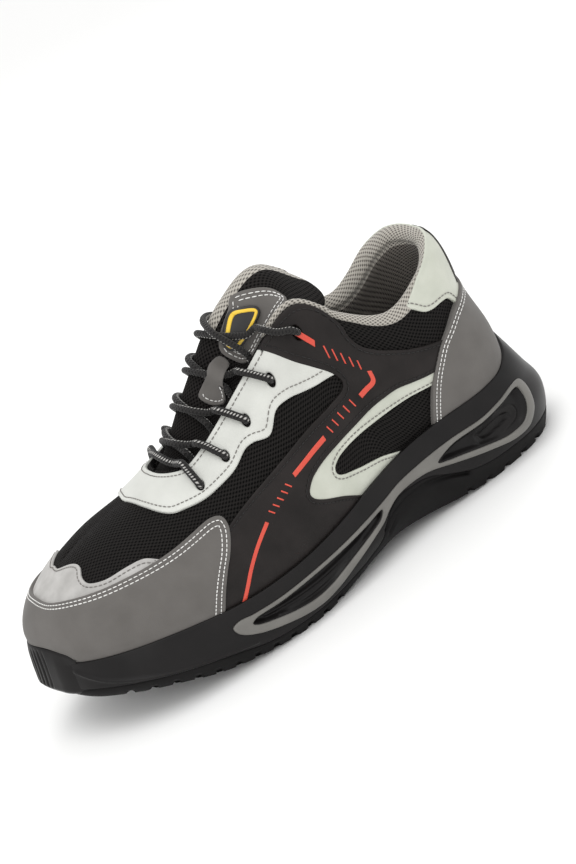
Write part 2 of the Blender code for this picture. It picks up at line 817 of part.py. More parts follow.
# The lacing piece is laid out across the shoe: its second column is v on the outer side.
EYESTAY = [
    (0.722, 1.000, 0),
    (0.716, 0.930, 0),
    (0.702, 0.800, 0),
    (0.687, 0.715, 0),
    (0.668, 0.658, 0),
    (0.645, 0.632, 0),
    (0.610, 0.604, 0),
    (0.572, 0.594, 0),
    (0.548, 0.594, 0),
    (0.520, 0.608, 0),
    (0.504, 0.600, 0),
    (0.478, 0.574, 0),
    (0.450, 0.601, 0),
    (0.424, 0.592, 0),
    (0.398, 0.572, 0),
    (0.368, 0.552, 0),
    (0.330, 0.540, 1),
    (0.352, 0.600, 0),
    (0.378, 0.660, 0),
    (0.398, 0.742, 1),
    (0.450, 0.742, 0),
    (0.500, 0.742, 0),
    (0.540, 0.742, 0),
    (0.585, 0.741, 0),
    (0.609, 0.752, 0),
    (0.628, 0.800, 0),
    (0.640, 0.860, 0),
    (0.646, 0.930, 0),
    (0.648, 1.000, 0),
]
SIDE_PANEL = [
    (0.697, ON_RIM, 1),
    (0.678, 0.170, 0),
    (0.658, 0.280, 0),
    (0.636, 0.385, 0),
    (0.618, 0.450, 1),
    (0.590, 0.470, 0),
    (0.550, 0.487, 0),
    (0.500, 0.494, 0),
    (0.430, 0.498, 0),
    (0.375, 0.490, 0),
    (0.345, 0.494, 0),
    (0.336, 0.515, 0),
    (0.342, 0.545, 0),
    (0.366, 0.592, 0),
    (0.386, 0.635, 0),
    (0.405, 0.690, 0),
    (0.420, 0.742, 1),
    (0.385, 0.742, 0),
    (0.350, 0.742, 0),
    (0.318, 0.742, 0),
    (0.302, 0.725, 0),
    (0.293, 0.690, 0),
    (0.292, 0.655, 0),
    (0.282, 0.625, 0),
    (0.262, 0.607, 0),
    (0.235, 0.592, 0),
    (0.207, 0.557, 0),
    (0.164, 0.480, 1),
    (0.196, 0.360, 1),
    (0.235, 0.395, 0),
    (0.262, 0.409, 0),
    (0.295, 0.400, 0),
    (0.343, 0.380, 0),
    (0.390, 0.378, 0),
    (0.430, 0.376, 0),
    (0.460, 0.360, 0),
    (0.477, 0.325, 0),
    (0.476, 0.290, 0),
    (0.462, 0.250, 0),
    (0.425, 0.170, 0),
    (0.388, ON_RIM, 1),
    (0.450, ON_RIM, 0),
    (0.530, ON_RIM, 0),
    (0.610, ON_RIM, 0),
]
WINDOW_TRIM = [
    (0.181, 0.395, 1),
    (0.235, 0.425, 0),
    (0.262, 0.437, 0),
    (0.295, 0.428, 0),
    (0.343, 0.407, 0),
    (0.390, 0.404, 0),
    (0.435, 0.402, 0),
    (0.470, 0.382, 0),
    (0.490, 0.330, 0),
    (0.488, 0.280, 0),
    (0.472, 0.235, 0),
    (0.436, 0.155, 0),
    (0.405, ON_RIM, 1),
    (0.350, ON_RIM, 0),
    (0.290, ON_RIM, 1),
    (0.335, 0.172, 0),
    (0.380, 0.225, 0),
    (0.410, 0.262, 0),
    (0.421, 0.290, 0),
    (0.419, 0.318, 0),
    (0.402, 0.337, 0),
    (0.370, 0.341, 0),
    (0.325, 0.336, 0),
    (0.280, 0.336, 0),
    (0.245, 0.328, 0),
    (0.200, 0.290, 1),
]
HEEL_COUNTER = [
    (0.000, 0.550, 0),
    (0.050, 0.552, 0),
    (0.090, 0.558, 0),
    (0.126, 0.545, 0),
    (0.152, 0.508, 0),
    (0.177, 0.462, 0),
    (0.200, 0.370, 0),
    (0.215, 0.285, 0),
    (0.230, 0.165, 0),
    (0.241, ON_RIM, 1),
    (0.190, ON_RIM, 0),
    (0.140, ON_RIM, 0),
    (0.100, ON_RIM, 0),
    (0.070, ON_RIM, 0),
    (0.040, ON_RIM, 0),
    (0.000, ON_RIM, 0),
]
HEEL_TAB = [
    (0.000, 0.764, 0),
    (0.050, 0.764, 0),
    (0.100, 0.763, 0),
    (0.142, 0.757, 0),
    (0.188, 0.742, 1),
    (0.179, 0.704, 0),
    (0.168, 0.656, 0),
    (0.154, 0.630, 0),
    (0.134, 0.614, 0),
    (0.120, 0.594, 0),
    (0.104, 0.520, 1),
    (0.050, 0.512, 0),
    (0.000, 0.512, 0),
]
# The black strip up the middle of the heel.
BACK_STRIP = [
    (0.000, 0.762, 0),
    (0.028, 0.761, 0),
    (0.042, 0.740, 0),
    (0.062, 0.680, 0),
    (0.071, 0.616, 0),
    (0.072, 0.570, 1),
    (0.000, 0.566, 0),
]


# The grey frame moulded on the sole's side, with its two windows.
# Columns: x, z in millimetres, 1 at a corner.
SIDE_FRAME = [
    (-66.5, 22.8, 0),
    (-65.5, 19.2, 0),
    (-61, 16.0, 0),
    (-54, 13.2, 0),
    (-44, 10.6, 0),
    (-32, 8.4, 0),
    (-21.5, 7.8, 0),
    (-10, 9.6, 0),
    (3, 13.4, 0),
    (16, 17.2, 0),
    (24, 19.8, 0),
    (30, 23.0, 0),
    (37, 25.6, 0),
    (46, 26.6, 0),
    (57, 26.0, 0),
    (69, 22.6, 0),
    (80.5, 19.2, 0),
    (92, 16.2, 0),
    (106, 13.0, 0),
    (117, 13.2, 0),
    (123, 18.0, 0),
    (126, 24.0, 0),
    (128, 30.0, 0),
    (126.5, 34.2, 0),
    (118, 34.8, 0),
    (107, 33.6, 0),
    (94, 32.4, 0),
    (76, 33.0, 0),
    (63, 32.6, 0),
    (52, 31.8, 0),
    (41, 30.6, 0),
    (29, 28.0, 0),
    (16, 26.0, 0),
    (-1, 24.0, 0),
    (-18, 22.9, 0),
    (-39, 22.2, 0),
    (-55, 23.0, 0),
    (-62, 24.0, 0),
]
FRONT_WINDOW = [
    (-57.5, 19.6, 0),
    (-54, 20.9, 0),
    (-40, 20.4, 0),
    (-19.5, 21.1, 0),
    (-2, 22.1, 0),
    (16, 24.0, 0),
    (26, 25.4, 0),
    (23.5, 22.0, 0),
    (16.5, 19.8, 0),
    (7, 17.6, 0),
    (-5, 14.8, 0),
    (-15, 12.6, 0),
    (-25.5, 11.9, 0),
    (-37, 13.2, 0),
    (-48, 15.6, 0),
    (-55, 17.6, 0),
]
HEEL_WINDOW = [
    (63.5, 27.4, 0),
    (75, 30.6, 0),
    (93, 30.5, 0),
    (106.5, 31.8, 0),
    (118, 33.0, 0),
    (123, 31.8, 0),
    (122.2, 26.5, 0),
    (118.8, 20.5, 0),
    (114, 17.0, 0),
    (103, 16.8, 0),
    (89, 20.0, 0),
    (78, 22.8, 0),
    (68, 25.2, 0),
]
FRAME_LAYER = (0.9 * MM, 1.7 * MM)
FRAME_MAP = stations_between(0.0, 1.0, 100)


def frame_chart(side):
    """A function that lays x, z in millimetres on one side of the sole, at a lift over it."""
    turned = [t if side < 0 else 2.0 - t for t in FRAME_MAP]
    reached = [rib(u)[2][0] + sole_side(u, 0.5)[0] * rib(u)[3][0] for u in turned]

    def place(x, z, lift):
        t = float(np.interp(x * MM * SOLE_LENGTH / (294 * MM), reached[::-1], FRAME_MAP[::-1]))
        u = t if side < 0 else 2.0 - t
        w = sole_level(u, z * MM * STACK / (37 * MM))
        here, ahead, behind = sole_side(u, w), sole_side(u, w + 0.01), sole_side(u, w - 0.01)
        slope = np.array([ahead[1] - behind[1], behind[0] - ahead[0]])
        slope = slope / np.linalg.norm(slope)
        _, _, start, way = rib(u)
        r = here[0] + lift * slope[0]
        return np.array([start[0] + r * way[0], start[1] + r * way[1], here[1] + lift * slope[1]])

    return place


def level_on_upper(u, z):
    """The v at which the upper reaches height z."""
    low, high = 0.0, 0.6
    for _ in range(22):
        middle = (low + high) / 2
        if upper_point(u, middle)[2] < z:
            low = middle
        else:
            high = middle
    return low


def above_rim(u):
    return level_on_upper(u, sole_side(u, 1.0)[1] + 1.4 * MM)


def outline_of(rows, size, step):
    """Evenly spaced points along a smooth closed outline, in metres. Corners stay sharp."""
    marks = [(a, above_rim(a % 2.0) if b == ON_RIM else b) for a, b, _ in rows]
    marks = [np.array([a * size[0], b * size[1]]) for a, b in marks]
    count = len(rows)
    out = []
    for i in range(count):
        here, there = marks[i], marks[(i + 1) % count]
        before, after = marks[i - 1], marks[(i + 2) % count]
        leave = there - here if rows[i][2] else (there - before) / 2
        arrive = there - here if rows[(i + 1) % count][2] else (after - here) / 2
        reach = float(np.linalg.norm(there - here))
        leave = leave * min(1.0, reach / max(float(np.linalg.norm(leave)), 1e-9))
        arrive = arrive * min(1.0, reach / max(float(np.linalg.norm(arrive)), 1e-9))
        parts = max(1, int(round(reach / step)))
        for k in range(parts):
            s = k / parts
            out.append(
                here * (1 + 2 * s) * (1 - s) ** 2
                + leave * s * (1 - s) ** 2
                + there * s * s * (3 - 2 * s)
                - arrive * s * s * (1 - s)
            )
    return out


def mirrored(rows, middle):
    """An outline that starts and ends on the middle, followed by its mirror image."""
    return rows + [(2 * middle - a, b, c) for a, b, c in reversed(rows[1:-1])]


def flipped(rows):
    """The same outline on the shoe's inner side."""
    return [(2.0 - a, b, c) for a, b, c in reversed(rows)]


def across_rows(rows):
    """An outline laid out across the shoe, closed with its mirror image."""
    return rows + [(t, 2.0 - q, c) for t, q, c in reversed(rows[1:-1])]


def inside(point, ring):
    found = False
    for (ax, ay), (bx, by) in zip(ring, ring[1:] + ring[:1]):
        if (ay > point[1]) != (by > point[1]):
            if point[0] < ax + (bx - ax) * (point[1] - ay) / (by - ay):
                found = not found
    return found


def patch(
    name, rows, place, layer, colour, rough=0.6, holes=(), size=(0.320, 0.110), step=0.0075, edge=0.0065
):
    """A thin solid that follows a surface: an outline filled with a net of points, in two layers."""
    rings = [outline_of(rows, size, edge)] + [outline_of(hole, size, edge * 0.8) for hole in holes]
    rings = [[(float(a), float(b)) for a, b in ring] for ring in rings]
    points, edges = [], []
    for ring in rings:
        first = len(points)
        points += ring
        edges += [(first + i, first + (i + 1) % len(ring)) for i in range(len(ring))]
    border = np.array(points)
    low, high = border.min(0), border.max(0)
    a = low[0] + step / 2
    while a < high[0]:
        b = low[1] + step / 2
        while b < high[1]:
            spot = (float(a), float(b))
            if inside(spot, rings[0]) and not any(inside(spot, ring) for ring in rings[1:]):
                if np.min(np.hypot(border[:, 0] - a, border[:, 1] - b)) > step * 0.55:
                    points.append(spot)
            b += step
        a += step
    spots, _, triangles, *_ = geometry.delaunay_2d_cdt(points, edges, [], 0, 1e-7)
    kept = []
    for triangle in triangles:
        middle = [sum(spots[k][axis] for k in triangle) / 3 for axis in (0, 1)]
        if inside(middle, rings[0]) and not any(inside(middle, ring) for ring in rings[1:]):
            kept.append(list(triangle))
    used = sorted({k for triangle in kept for k in triangle})
    index = {k: i for i, k in enumerate(used)}
    solid = []
    for lift in layer:
        solid += [place(spots[k][0] / size[0], spots[k][1] / size[1], lift) for k in used]
    count = len(used)
    faces = [[index[k] for k in reversed(triangle)] for triangle in kept]
    faces += [[index[k] + count for k in triangle] for triangle in kept]
    sides = {}
    for triangle in kept:
        for a, b in zip(triangle, triangle[1:] + triangle[:1]):
            if (b, a) in sides:
                del sides[b, a]
            else:
                sides[a, b] = True
    for a, b in sides:
        faces.append([index[a], index[b], index[b] + count, index[a] + count])
    return add_solid(name, solid, faces, colour, rough)


def around(u, v, lift):
    return on_upper(u % 2.0, v, lift)


def across(t, q, lift):
    u, v = (t, q) if q <= 1 else (2 - t, 2 - q)
    if v > 0.9:
        share = (v - 0.9) / 0.2
        other = on_upper(2 - u, v, 0.0) - upper_point(2 - u, v)
        tilt = normal_of(upper_point, u, v) * (1 - share)
        turned = normal_of(upper_point, 2 - u, v) * share
        return upper_point(u, v) + other + lift * (tilt + turned) / np.linalg.norm(tilt + turned)
    return on_upper(u, v, lift)


tongue_middle = curve(TONGUE, 1)
tongue_thick = curve(TONGUE, 2)
tongue_end = curve(TONGUE_END, 1, level=False)

# Pieces on the tongue, in station and q, where q is 1 in the middle of the tongue.
TONGUE_PATCH = [
    (0.384, 0.955, 0),
    (0.364, 0.908, 0),
    (0.344, 0.848, 0),
    (0.336, 0.800, 0),
    (0.346, 0.768, 0),
    (0.375, 0.758, 0),
    (0.405, 0.757, 0),
    (0.434, 0.758, 0),
    (0.449, 0.790, 0),
    (0.455, 0.850, 0),
    (0.454, 0.900, 0),
    (0.440, 0.922, 0),
    (0.402, 0.937, 0),
]
TONGUE_BADGE = [
    (0.404, 0.928, 0),
    (0.390, 0.902, 0),
    (0.381, 0.868, 0),
    (0.384, 0.842, 0),
    (0.401, 0.834, 0),
    (0.421, 0.836, 0),
    (0.440, 0.850, 0),
    (0.447, 0.878, 0),
    (0.444, 0.905, 0),
    (0.424, 0.922, 0),
]
LACE_KEEPER = [
    (0.459, 0.900, 0),
    (0.461, 0.858, 0),
    (0.474, 0.862, 0),
    (0.488, 0.850, 0),
    (0.495, 0.796, 0),
    (0.504, 0.782, 0),
    (0.514, 0.820, 0),
    (0.520, 0.868, 0),
    (0.519, 0.912, 0),
    (0.506, 0.917, 0),
    (0.490, 0.912, 0),
    (0.474, 0.916, 0),
]

# Lace holes along the outer lacing edge, and the lace. Columns: station, v.
EYELETS = [(0.605, 0.650), (0.549, 0.646), (0.494, 0.656), (0.430, 0.658), (0.359, 0.674)]
EYELET_RADIUS = 2.6 * MM
LACE_RADIUS = 1.8 * MM
LACE_OVER_TONGUE = 4.2 * MM
LACE_OVER_BADGE = 1.8 * MM  # the top strands lie this much higher, over the badge
# How far towards the next row down each crossing strand comes up. Columns: share of the row pitch.
LACE_STARTS = [0.0, 0.72, 0.82, 0.90, 1.08]
# The front bar over the tongue. Columns: place over the tongue, how far towards the toe it bows.
BAR_BOW = [
    (0.82, 0.008), (0.88, 0.012), (0.94, 0.012), (1.00, 0.011), (1.06, 0.012), (1.12, 0.012), (1.18, 0.008),
]
# Strands that end on the outer and on the inner side. Columns: share of that run still to go, and the
# place over the tongue, where 1 is the ridge and 0.8 lies beside the eyelets that the strand ends in.
OUTER_STRAND = [
    (1.06, 1.185), (1.10, 1.120), (1.12, 1.060), (1.12, 1.000), (1.07, 0.950), (0.95, 0.900), (0.78, 0.850),
    (0.56, 0.795),
]
INNER_STRAND = [
    (1.02, 1.185), (1.03, 1.120), (1.02, 1.070), (0.96, 1.030), (0.88, 0.990), (0.76, 0.940), (0.62, 0.875),
    (0.47, 0.815),
]


def tongue_point(t, q, depth=0.0):
    """Place on the tongue's front face, or depth (0 to 1) of its thickness behind it."""
    u, v = (t, q) if q <= 1 else (2 - t, 2 - q)
    s = min(max((v - 0.80) / 0.20, 0.0), 1.0)
    under = -UPPER_WALL - 1.8 * MM
    swell = under + (tongue_middle(t) * UPPER_HEIGHT - under) * s * s * (3 - 2 * s)
    side = min(max((v - TONGUE_SIDE) / 0.12, 0.0), 1.0)
    thick = tongue_thick(t) * UPPER_HEIGHT * (0.45 + 0.55 * side * (2 - side))
    lift = swell - thick * depth
    where = on_upper(u, v, lift)
    if v > 0.999:
        where = (where + on_upper(2 - u, v, lift)) / 2
    return where


TONGUE_ALONG = 16
TONGUE_ACROSS = 16


def add_tongue():
    net = Net()
    rows = {}
    for a in range(TONGUE_ALONG + 1):
        for layer in (0, 1):
            row = []
            for b in range(TONGUE_ACROSS + 1):
                q = 1 + (2 * b / TONGUE_ACROSS - 1) * (1 - TONGUE_SIDE)
                t = TONGUE_FRONT + (tongue_end(q) - TONGUE_FRONT) * (1 - (1 - a / TONGUE_ALONG) ** 1.25)
                inset = 0.25 if a == TONGUE_ALONG else 0.0
                depth = inset if layer == 0 else 1.0 - inset
                row.append(net.point((a, b, layer), tongue_point(t, q, depth)))
            rows[a, layer] = row
    for a in range(TONGUE_ALONG):
        for layer in (0, 1):
            net.strip(rows[a, layer], rows[a + 1, layer])
        for b in (0, TONGUE_ACROSS):
            net.strip([rows[a, 0][b], rows[a, 1][b]], [rows[a + 1, 0][b], rows[a + 1, 1][b]])
    for a in (0, TONGUE_ALONG):
        net.strip(rows[a, 0], rows[a, 1])
    return add_solid("tongue", net.points, net.faces, (0.013, 0.013, 0.014), 0.9)


def on_tongue(t, q, lift):
    """Place over the tongue's front face."""
    here = tongue_point(t, q)
    along = tongue_point(t + 0.004, q) - tongue_point(t - 0.004, q)
    over = tongue_point(t, q + 0.01) - tongue_point(t, q - 0.01)
    normal = np.cross(over, along)
    normal = normal / np.linalg.norm(normal)
    return here + lift * normal * (1 if normal[2] > 0 else -1)


# The padded collar. Its section at one rib: v down the inside, depth behind the upper's face / UPPER_HEIGHT.
COLLAR_DOWN = [(0.735, 0.083), (0.690, 0.092), (0.620, 0.080), (0.540, 0.060), (0.470, 0.042)]
COLLAR_END = 0.335
# How thick the pad is along the collar. Columns: station, share of the full depth.
COLLAR_SWELL = [(0.00, 0.80), (0.08, 0.95), (0.16, 1.00), (0.22, 0.90), (0.28, 0.60), (0.335, 0.30)]


def collar_section(u):
    """One closed ring of the collar pad: over the top edge, down the inside and back up along the upper."""
    _, t, _, _ = rib(u)
    swell = collar_swell(t)
    wall = -UPPER_WALL - CLEARANCE - 0.7 * MM
    edge = on_upper(u, TOP_LINE, 0.0)
    up = upper_point(u, TOP_LINE + 0.02) - upper_point(u, TOP_LINE - 0.02)
    up = up / np.linalg.norm(up)
    out = normal_of(upper_point, u, TOP_LINE)
    deep = COLLAR_DOWN[0][1] * UPPER_HEIGHT * swell + 2.0 * MM * (1 - swell)
    ring = [edge + up * 0.8 * MM - out * 0.3 * MM, edge + up * 2.3 * MM]
    rise = 3.6 * MM * (0.45 + 0.55 * swell)
    ring.append(edge + up * rise - out * deep * 0.30)
    ring.append(edge + up * (rise - 0.4 * MM) - out * deep * 0.65)
    ring.append(edge + up * rise * 0.35 - out * deep * 0.97)
    for v, depth in COLLAR_DOWN:
        ring.append(on_upper(u, v, -max(depth * UPPER_HEIGHT * swell, -wall + 0.8 * MM)))
    for v in (0.470, 0.560, 0.650, 0.735):
        ring.append(on_upper(u, v, wall))
    ring.append(edge + up * 0.8 * MM + out * wall)
    return ring


collar_swell = curve(COLLAR_SWELL, 1)


def add_collar():
    net = Net()
    places = stations_between(-COLLAR_END, COLLAR_END, 36)
    rows = []
    for i, u in enumerate(places):
        rows.append([net.point((i, j), where) for j, where in enumerate(collar_section(u % 2.0))])
    for first, second in zip(rows, rows[1:]):
        net.strip(first + first[:1], second + second[:1])
    net.faces += [list(rows[0]), list(reversed(rows[-1]))]
    return add_solid("collar_padding", net.points, net.faces, (0.35, 0.33, 0.30), 0.9)


def tube(points, radius, sides=6):
    """Points and faces of a round strand along a path."""
    points = [np.array(p) for p in points]
    verts, faces = [], []
    side = None
    for i, here in enumerate(points):
        ahead = points[min(i + 1, len(points) - 1)] - points[max(i - 1, 0)]
        ahead = ahead / np.linalg.norm(ahead)
        if side is None:
            side = np.cross(ahead, (0.3, 0.2, 1.0))
        side = side - ahead * np.dot(side, ahead)
        side = side / np.linalg.norm(side)
        other = np.cross(ahead, side)
        for k in range(sides):
            turn = 2 * np.pi * k / sides
            verts.append(here + radius * (np.cos(turn) * side + np.sin(turn) * other))
    for i in range(len(points) - 1):
        for k in range(sides):
            n = (k + 1) % sides
            faces.append([i * sides + k, i * sides + n, (i + 1) * sides + n, (i + 1) * sides + k])
    faces += [list(range(sides))[::-1], [len(verts) - sides + k for k in range(sides)]]
    return verts, faces


def lace_end(row, side, drift=0.0):
    """Marks from the throat edge down into one eyelet; drift is how far along the strand has yet to go."""
    t, v = EYELETS[row]
    top = OVER[1] if row == len(EYELETS) - 1 else UNDER[1]
    q = (lambda value: value if side < 0 else 2.0 - value)
    return [
        across(t + drift * 0.32, q(0.755), top + 3.0 * MM),
        across(t + drift * 0.18, q(0.715), top + 2.9 * MM),
        across(t + drift * 0.04, q(v + 0.014), top + 2.4 * MM),
        across(t, q(v + 0.002), top + 0.9 * MM),
        across(t, q(v), -1.2 * MM),
    ]


def lace_strand(row, side):
    """A strand that comes up beside the tongue on the other side and crosses into an eyelet on this one."""
    t = EYELETS[row][0]
    drift = (EYELETS[row - 1][0] - t) * LACE_STARTS[row]
    q = (lambda value: value if side < 0 else 2.0 - value)
    lift = LACE_OVER_TONGUE + (LACE_OVER_BADGE if row == len(EYELETS) - 1 else 0.0)
    marks = []
    for left, place in OUTER_STRAND if side < 0 else INNER_STRAND:
        marks.append(on_tongue(t + drift * left, q(place), lift))
    return marks + lace_end(row, side, drift)


def add_laces():
    made = []
    t = EYELETS[0][0]
    marks = list(reversed(lace_end(0, -1)))
    for q, bow in BAR_BOW:
        marks.append(on_tongue(t + bow, q, LACE_OVER_TONGUE + 1.2 * MM))
    marks += lace_end(0, 1)
    verts, faces = tube(marks, LACE_RADIUS)
    made.append(add_solid("lace_bar_1", verts, faces, BLACK_CORD, 0.8))
    for row in range(1, len(EYELETS)):
        verts, faces = tube(lace_strand(row, -1), LACE_RADIUS)
        first = add_solid("lace_cross_%d" % (row + 1), verts, faces, BLACK_CORD, 0.8)
        verts, faces = tube(lace_strand(row, 1), LACE_RADIUS)
        cut(first, [add_solid("strand", verts, faces, BLACK_CORD, 0.8)], "UNION")
        made.append(first)
    return made


def eyelet_cutters(side):
    """Round cutters through the lace holes of one side."""
    made = []
    for t, v in EYELETS:
        u = t if side < 0 else 2 - t
        verts, faces = tube([on_upper(u, v, -6 * MM), on_upper(u, v, 6 * MM)], EYELET_RADIUS, 8)
        made.append(add_solid("hole", verts, faces, (0.5, 0.5, 0.5)))
    return made


for item in list(bpy.data.objects):
    bpy.data.objects.remove(item, do_unlink=True)

midsole = rib_solid("midsole", SOLE_STATIONS, midsole_profile, (0.022, 0.021, 0.021), 0.5)
outsole = rib_solid("outsole", SOLE_STATIONS, outsole_profile, (0.018, 0.017, 0.017), 0.6)
cut(outsole, [tread_cutter()])
bumper = add_bumper()
upper = add_upper()
insole = rib_solid("insole", SOLE_STATIONS, insole_profile, (0.05, 0.05, 0.05), 0.9)
tongue = add_tongue()

GREY_SUEDE = (0.160, 0.148, 0.140)
WHITE_SKIN = (0.80, 0.80, 0.76)
CREAM_SKIN = (0.68, 0.69, 0.63)
BLACK_SKIN = (0.034, 0.029, 0.027)
BLACK_CORD = (0.012, 0.012, 0.012)

toe_cap = patch("toe_cap", mirrored(TOE_CAP, 1.0), around, OUTMOST, GREY_SUEDE, 0.85)
toe_trim = patch("toe_trim", mirrored(TOE_TRIM, 1.0), around, UNDER, (0.50, 0.50, 0.48), 0.7)
eyestay = patch("eyestay", across_rows(EYESTAY), across, UNDER, WHITE_SKIN, 0.45, step=0.0065)
panel_outer = patch("side_panel_outer", SIDE_PANEL, around, OVER, BLACK_SKIN, 0.4)
panel_inner = patch("side_panel_inner", flipped(SIDE_PANEL), around, OVER, BLACK_SKIN, 0.4)
window_outer = patch("window_trim_outer", WINDOW_TRIM, around, UNDER, CREAM_SKIN, 0.5)
window_inner = patch("window_trim_inner", flipped(WINDOW_TRIM), around, UNDER, CREAM_SKIN, 0.5)
counter = patch("heel_counter", mirrored(HEEL_COUNTER, 0.0), around, OUTMOST, GREY_SUEDE, 0.85)
patch("heel_tab", mirrored(HEEL_TAB, 0.0), around, UNDER, CREAM_SKIN, 0.5, step=0.0055, edge=0.005)
patch("back_strip", mirrored(BACK_STRIP, 0.0), around, OVER, BLACK_SKIN, 0.5)
collar = add_collar()
THIN = (0.7 * MM, 1.4 * MM)
RAISED = (2.6 * MM, 3.5 * MM)
BADGE_BLACK = (0.02, 0.02, 0.02)
for name, rows, layer, colour, rough in (
    ("tongue_patch", TONGUE_PATCH, THIN, GREY_SUEDE, 0.85),
    ("tongue_badge", TONGUE_BADGE, RAISED, BADGE_BLACK, 0.4),
    ("lace_keeper", LACE_KEEPER, THIN, GREY_SUEDE, 0.85),
):
    patch(name, rows, on_tongue, layer, colour, rough, step=0.0055, edge=0.005)
laces = add_laces()

FRAME_GREY = (0.205, 0.198, 0.180)
for side, name in ((-1, "side_frame_outer"), (1, "side_frame_inner")):
    patch(
        name, SIDE_FRAME, frame_chart(side), FRAME_LAYER, FRAME_GREY, 0.4,
        holes=(FRONT_WINDOW, HEEL_WINDOW), size=(MM, MM), step=9 * MM, edge=6.2 * MM,
    )

for side, panel in ((-1, panel_outer), (1, panel_inner)):
    cut(upper, eyelet_cutters(side))
    cut(eyestay, eyelet_cutters(side)[:4])
    cut(panel, eyelet_cutters(side)[4:])
for item in list(bpy.data.objects):
    if item.name.startswith("hole"):
        bpy.data.objects.remove(item, do_unlink=True)
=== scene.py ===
import math

import bmesh
import bpy
import numpy as np
from mathutils import Matrix, Vector, geometry, kdtree


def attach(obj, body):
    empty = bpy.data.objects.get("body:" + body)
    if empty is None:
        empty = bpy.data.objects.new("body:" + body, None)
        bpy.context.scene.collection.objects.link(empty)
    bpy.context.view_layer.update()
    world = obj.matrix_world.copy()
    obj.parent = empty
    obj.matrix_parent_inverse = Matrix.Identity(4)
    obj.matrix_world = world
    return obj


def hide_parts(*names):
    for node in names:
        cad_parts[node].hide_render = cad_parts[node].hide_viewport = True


# A low safety sneaker for the left foot: toe towards -X, outer side towards -Y, sole on the floor.
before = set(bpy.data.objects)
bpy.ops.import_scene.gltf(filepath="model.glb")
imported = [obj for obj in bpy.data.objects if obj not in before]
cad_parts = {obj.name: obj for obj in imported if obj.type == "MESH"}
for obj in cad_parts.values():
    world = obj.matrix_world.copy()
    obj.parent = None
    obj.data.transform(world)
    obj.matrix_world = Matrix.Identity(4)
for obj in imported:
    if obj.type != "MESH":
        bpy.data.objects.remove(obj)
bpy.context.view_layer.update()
scene = bpy.context.scene
mm = 0.001

# Camera, light and floor
camera = {
    "azimuth": -16.58,  # degrees round the shoe from its outer side
    "elevation": 21.74,
    "distance": 0.9189,
    "lookAt": (-0.0020, 0.0, 0.0612),
    "roll": 27.9,  # degrees; the photo holds the shoe toe down
    "lens": 79.6,
    "shift": (0.0292, 0.0359),
}
studio = {
    "floorHex": "#fbfbfa",
    "skyHex": "#ffffff",
    "skyStrength": 1.0,
    "floorHalf": 12.0,  # metres from the middle to an edge
    "lampsLookAt": (0, 0, 0.05),
    "lamps": [
        # name, place, size across, watts
        ("overheadSoftbox", (-0.15, -0.35, 1.30), 1.1, 4.6),
        ("frontSoftbox", (-0.95, -1.10, 0.75), 0.8, 1.8),
        ("backSoftbox", (0.75, 0.95, 0.95), 0.7, 3.0),
    ],
}


def linear(hexColour):
    parts = [int(hexColour[i : i + 2], 16) / 255 for i in (1, 3, 5)]
    return tuple(c / 12.92 if c <= 0.04045 else ((c + 0.055) / 1.055) ** 2.4 for c in parts) + (1.0,)


def placeCamera():
    azimuth, elevation = math.radians(camera["azimuth"]), math.radians(camera["elevation"])
    level = math.cos(elevation)
    back = Vector((math.sin(azimuth) * level, -math.cos(azimuth) * level, math.sin(elevation)))
    right = Vector((math.cos(azimuth), math.sin(azimuth), 0.0))
    up = back.cross(right)
    roll = math.radians(camera["roll"])
    turnedRight = right * math.cos(roll) - up * math.sin(roll)
    turnedUp = right * math.sin(roll) + up * math.cos(roll)
    made = bpy.data.objects.new("camera", bpy.data.cameras.new("camera"))
    made.data.lens = camera["lens"]
    made.data.shift_x, made.data.shift_y = camera["shift"]
    spot = Vector(camera["lookAt"]) + back * camera["distance"]
    axes = Matrix((turnedRight, turnedUp, back)).transposed().to_4x4()
    made.matrix_world = Matrix.Translation(spot) @ axes
    scene.collection.objects.link(made)
    scene.camera = made


def placeStudio():
    for name, spot, size, watts in studio["lamps"]:
        lamp = bpy.data.lights.new(name, "AREA")
        lamp.shape, lamp.size, lamp.energy = "DISK", size, watts
        made = bpy.data.objects.new(name, lamp)
        made.location = spot
        towards = Vector(spot) - Vector(studio["lampsLookAt"])
        made.rotation_euler = towards.to_track_quat("Z", "Y").to_euler()
        scene.collection.objects.link(made)
    scene.view_settings.view_transform = "Standard"
    scene.world = bpy.data.worlds.new("paleRoom")
    scene.world.use_nodes = True
    sky = scene.world.node_tree.nodes["Background"]
    sky.inputs["Color"].default_value = linear(studio["skyHex"])
    sky.inputs["Strength"].default_value = studio["skyStrength"]
    half = studio["floorHalf"]
    mesh = bpy.data.meshes.new("floor")
    corners = [(x * half, y * half, 0) for x, y in ((-1, -1), (1, -1), (1, 1), (-1, 1))]
    mesh.from_pydata(corners, [], [(0, 1, 2, 3)])
    floor = bpy.data.objects.new("floor", mesh)
    scene.collection.objects.link(floor)
    # plain studio card: no gloss, so it only catches soft shadow
    paint = bpy.data.materials.new("mattWhiteCard")
    paint.use_nodes = True
    shader = paint.node_tree.nodes["Principled BSDF"]
    shader.inputs["Base Color"].default_value = linear(studio["floorHex"])
    shader.inputs["Roughness"].default_value = 0.95
    mesh.materials.append(paint)


placeCamera()
placeStudio()
print("camera and studio placed")

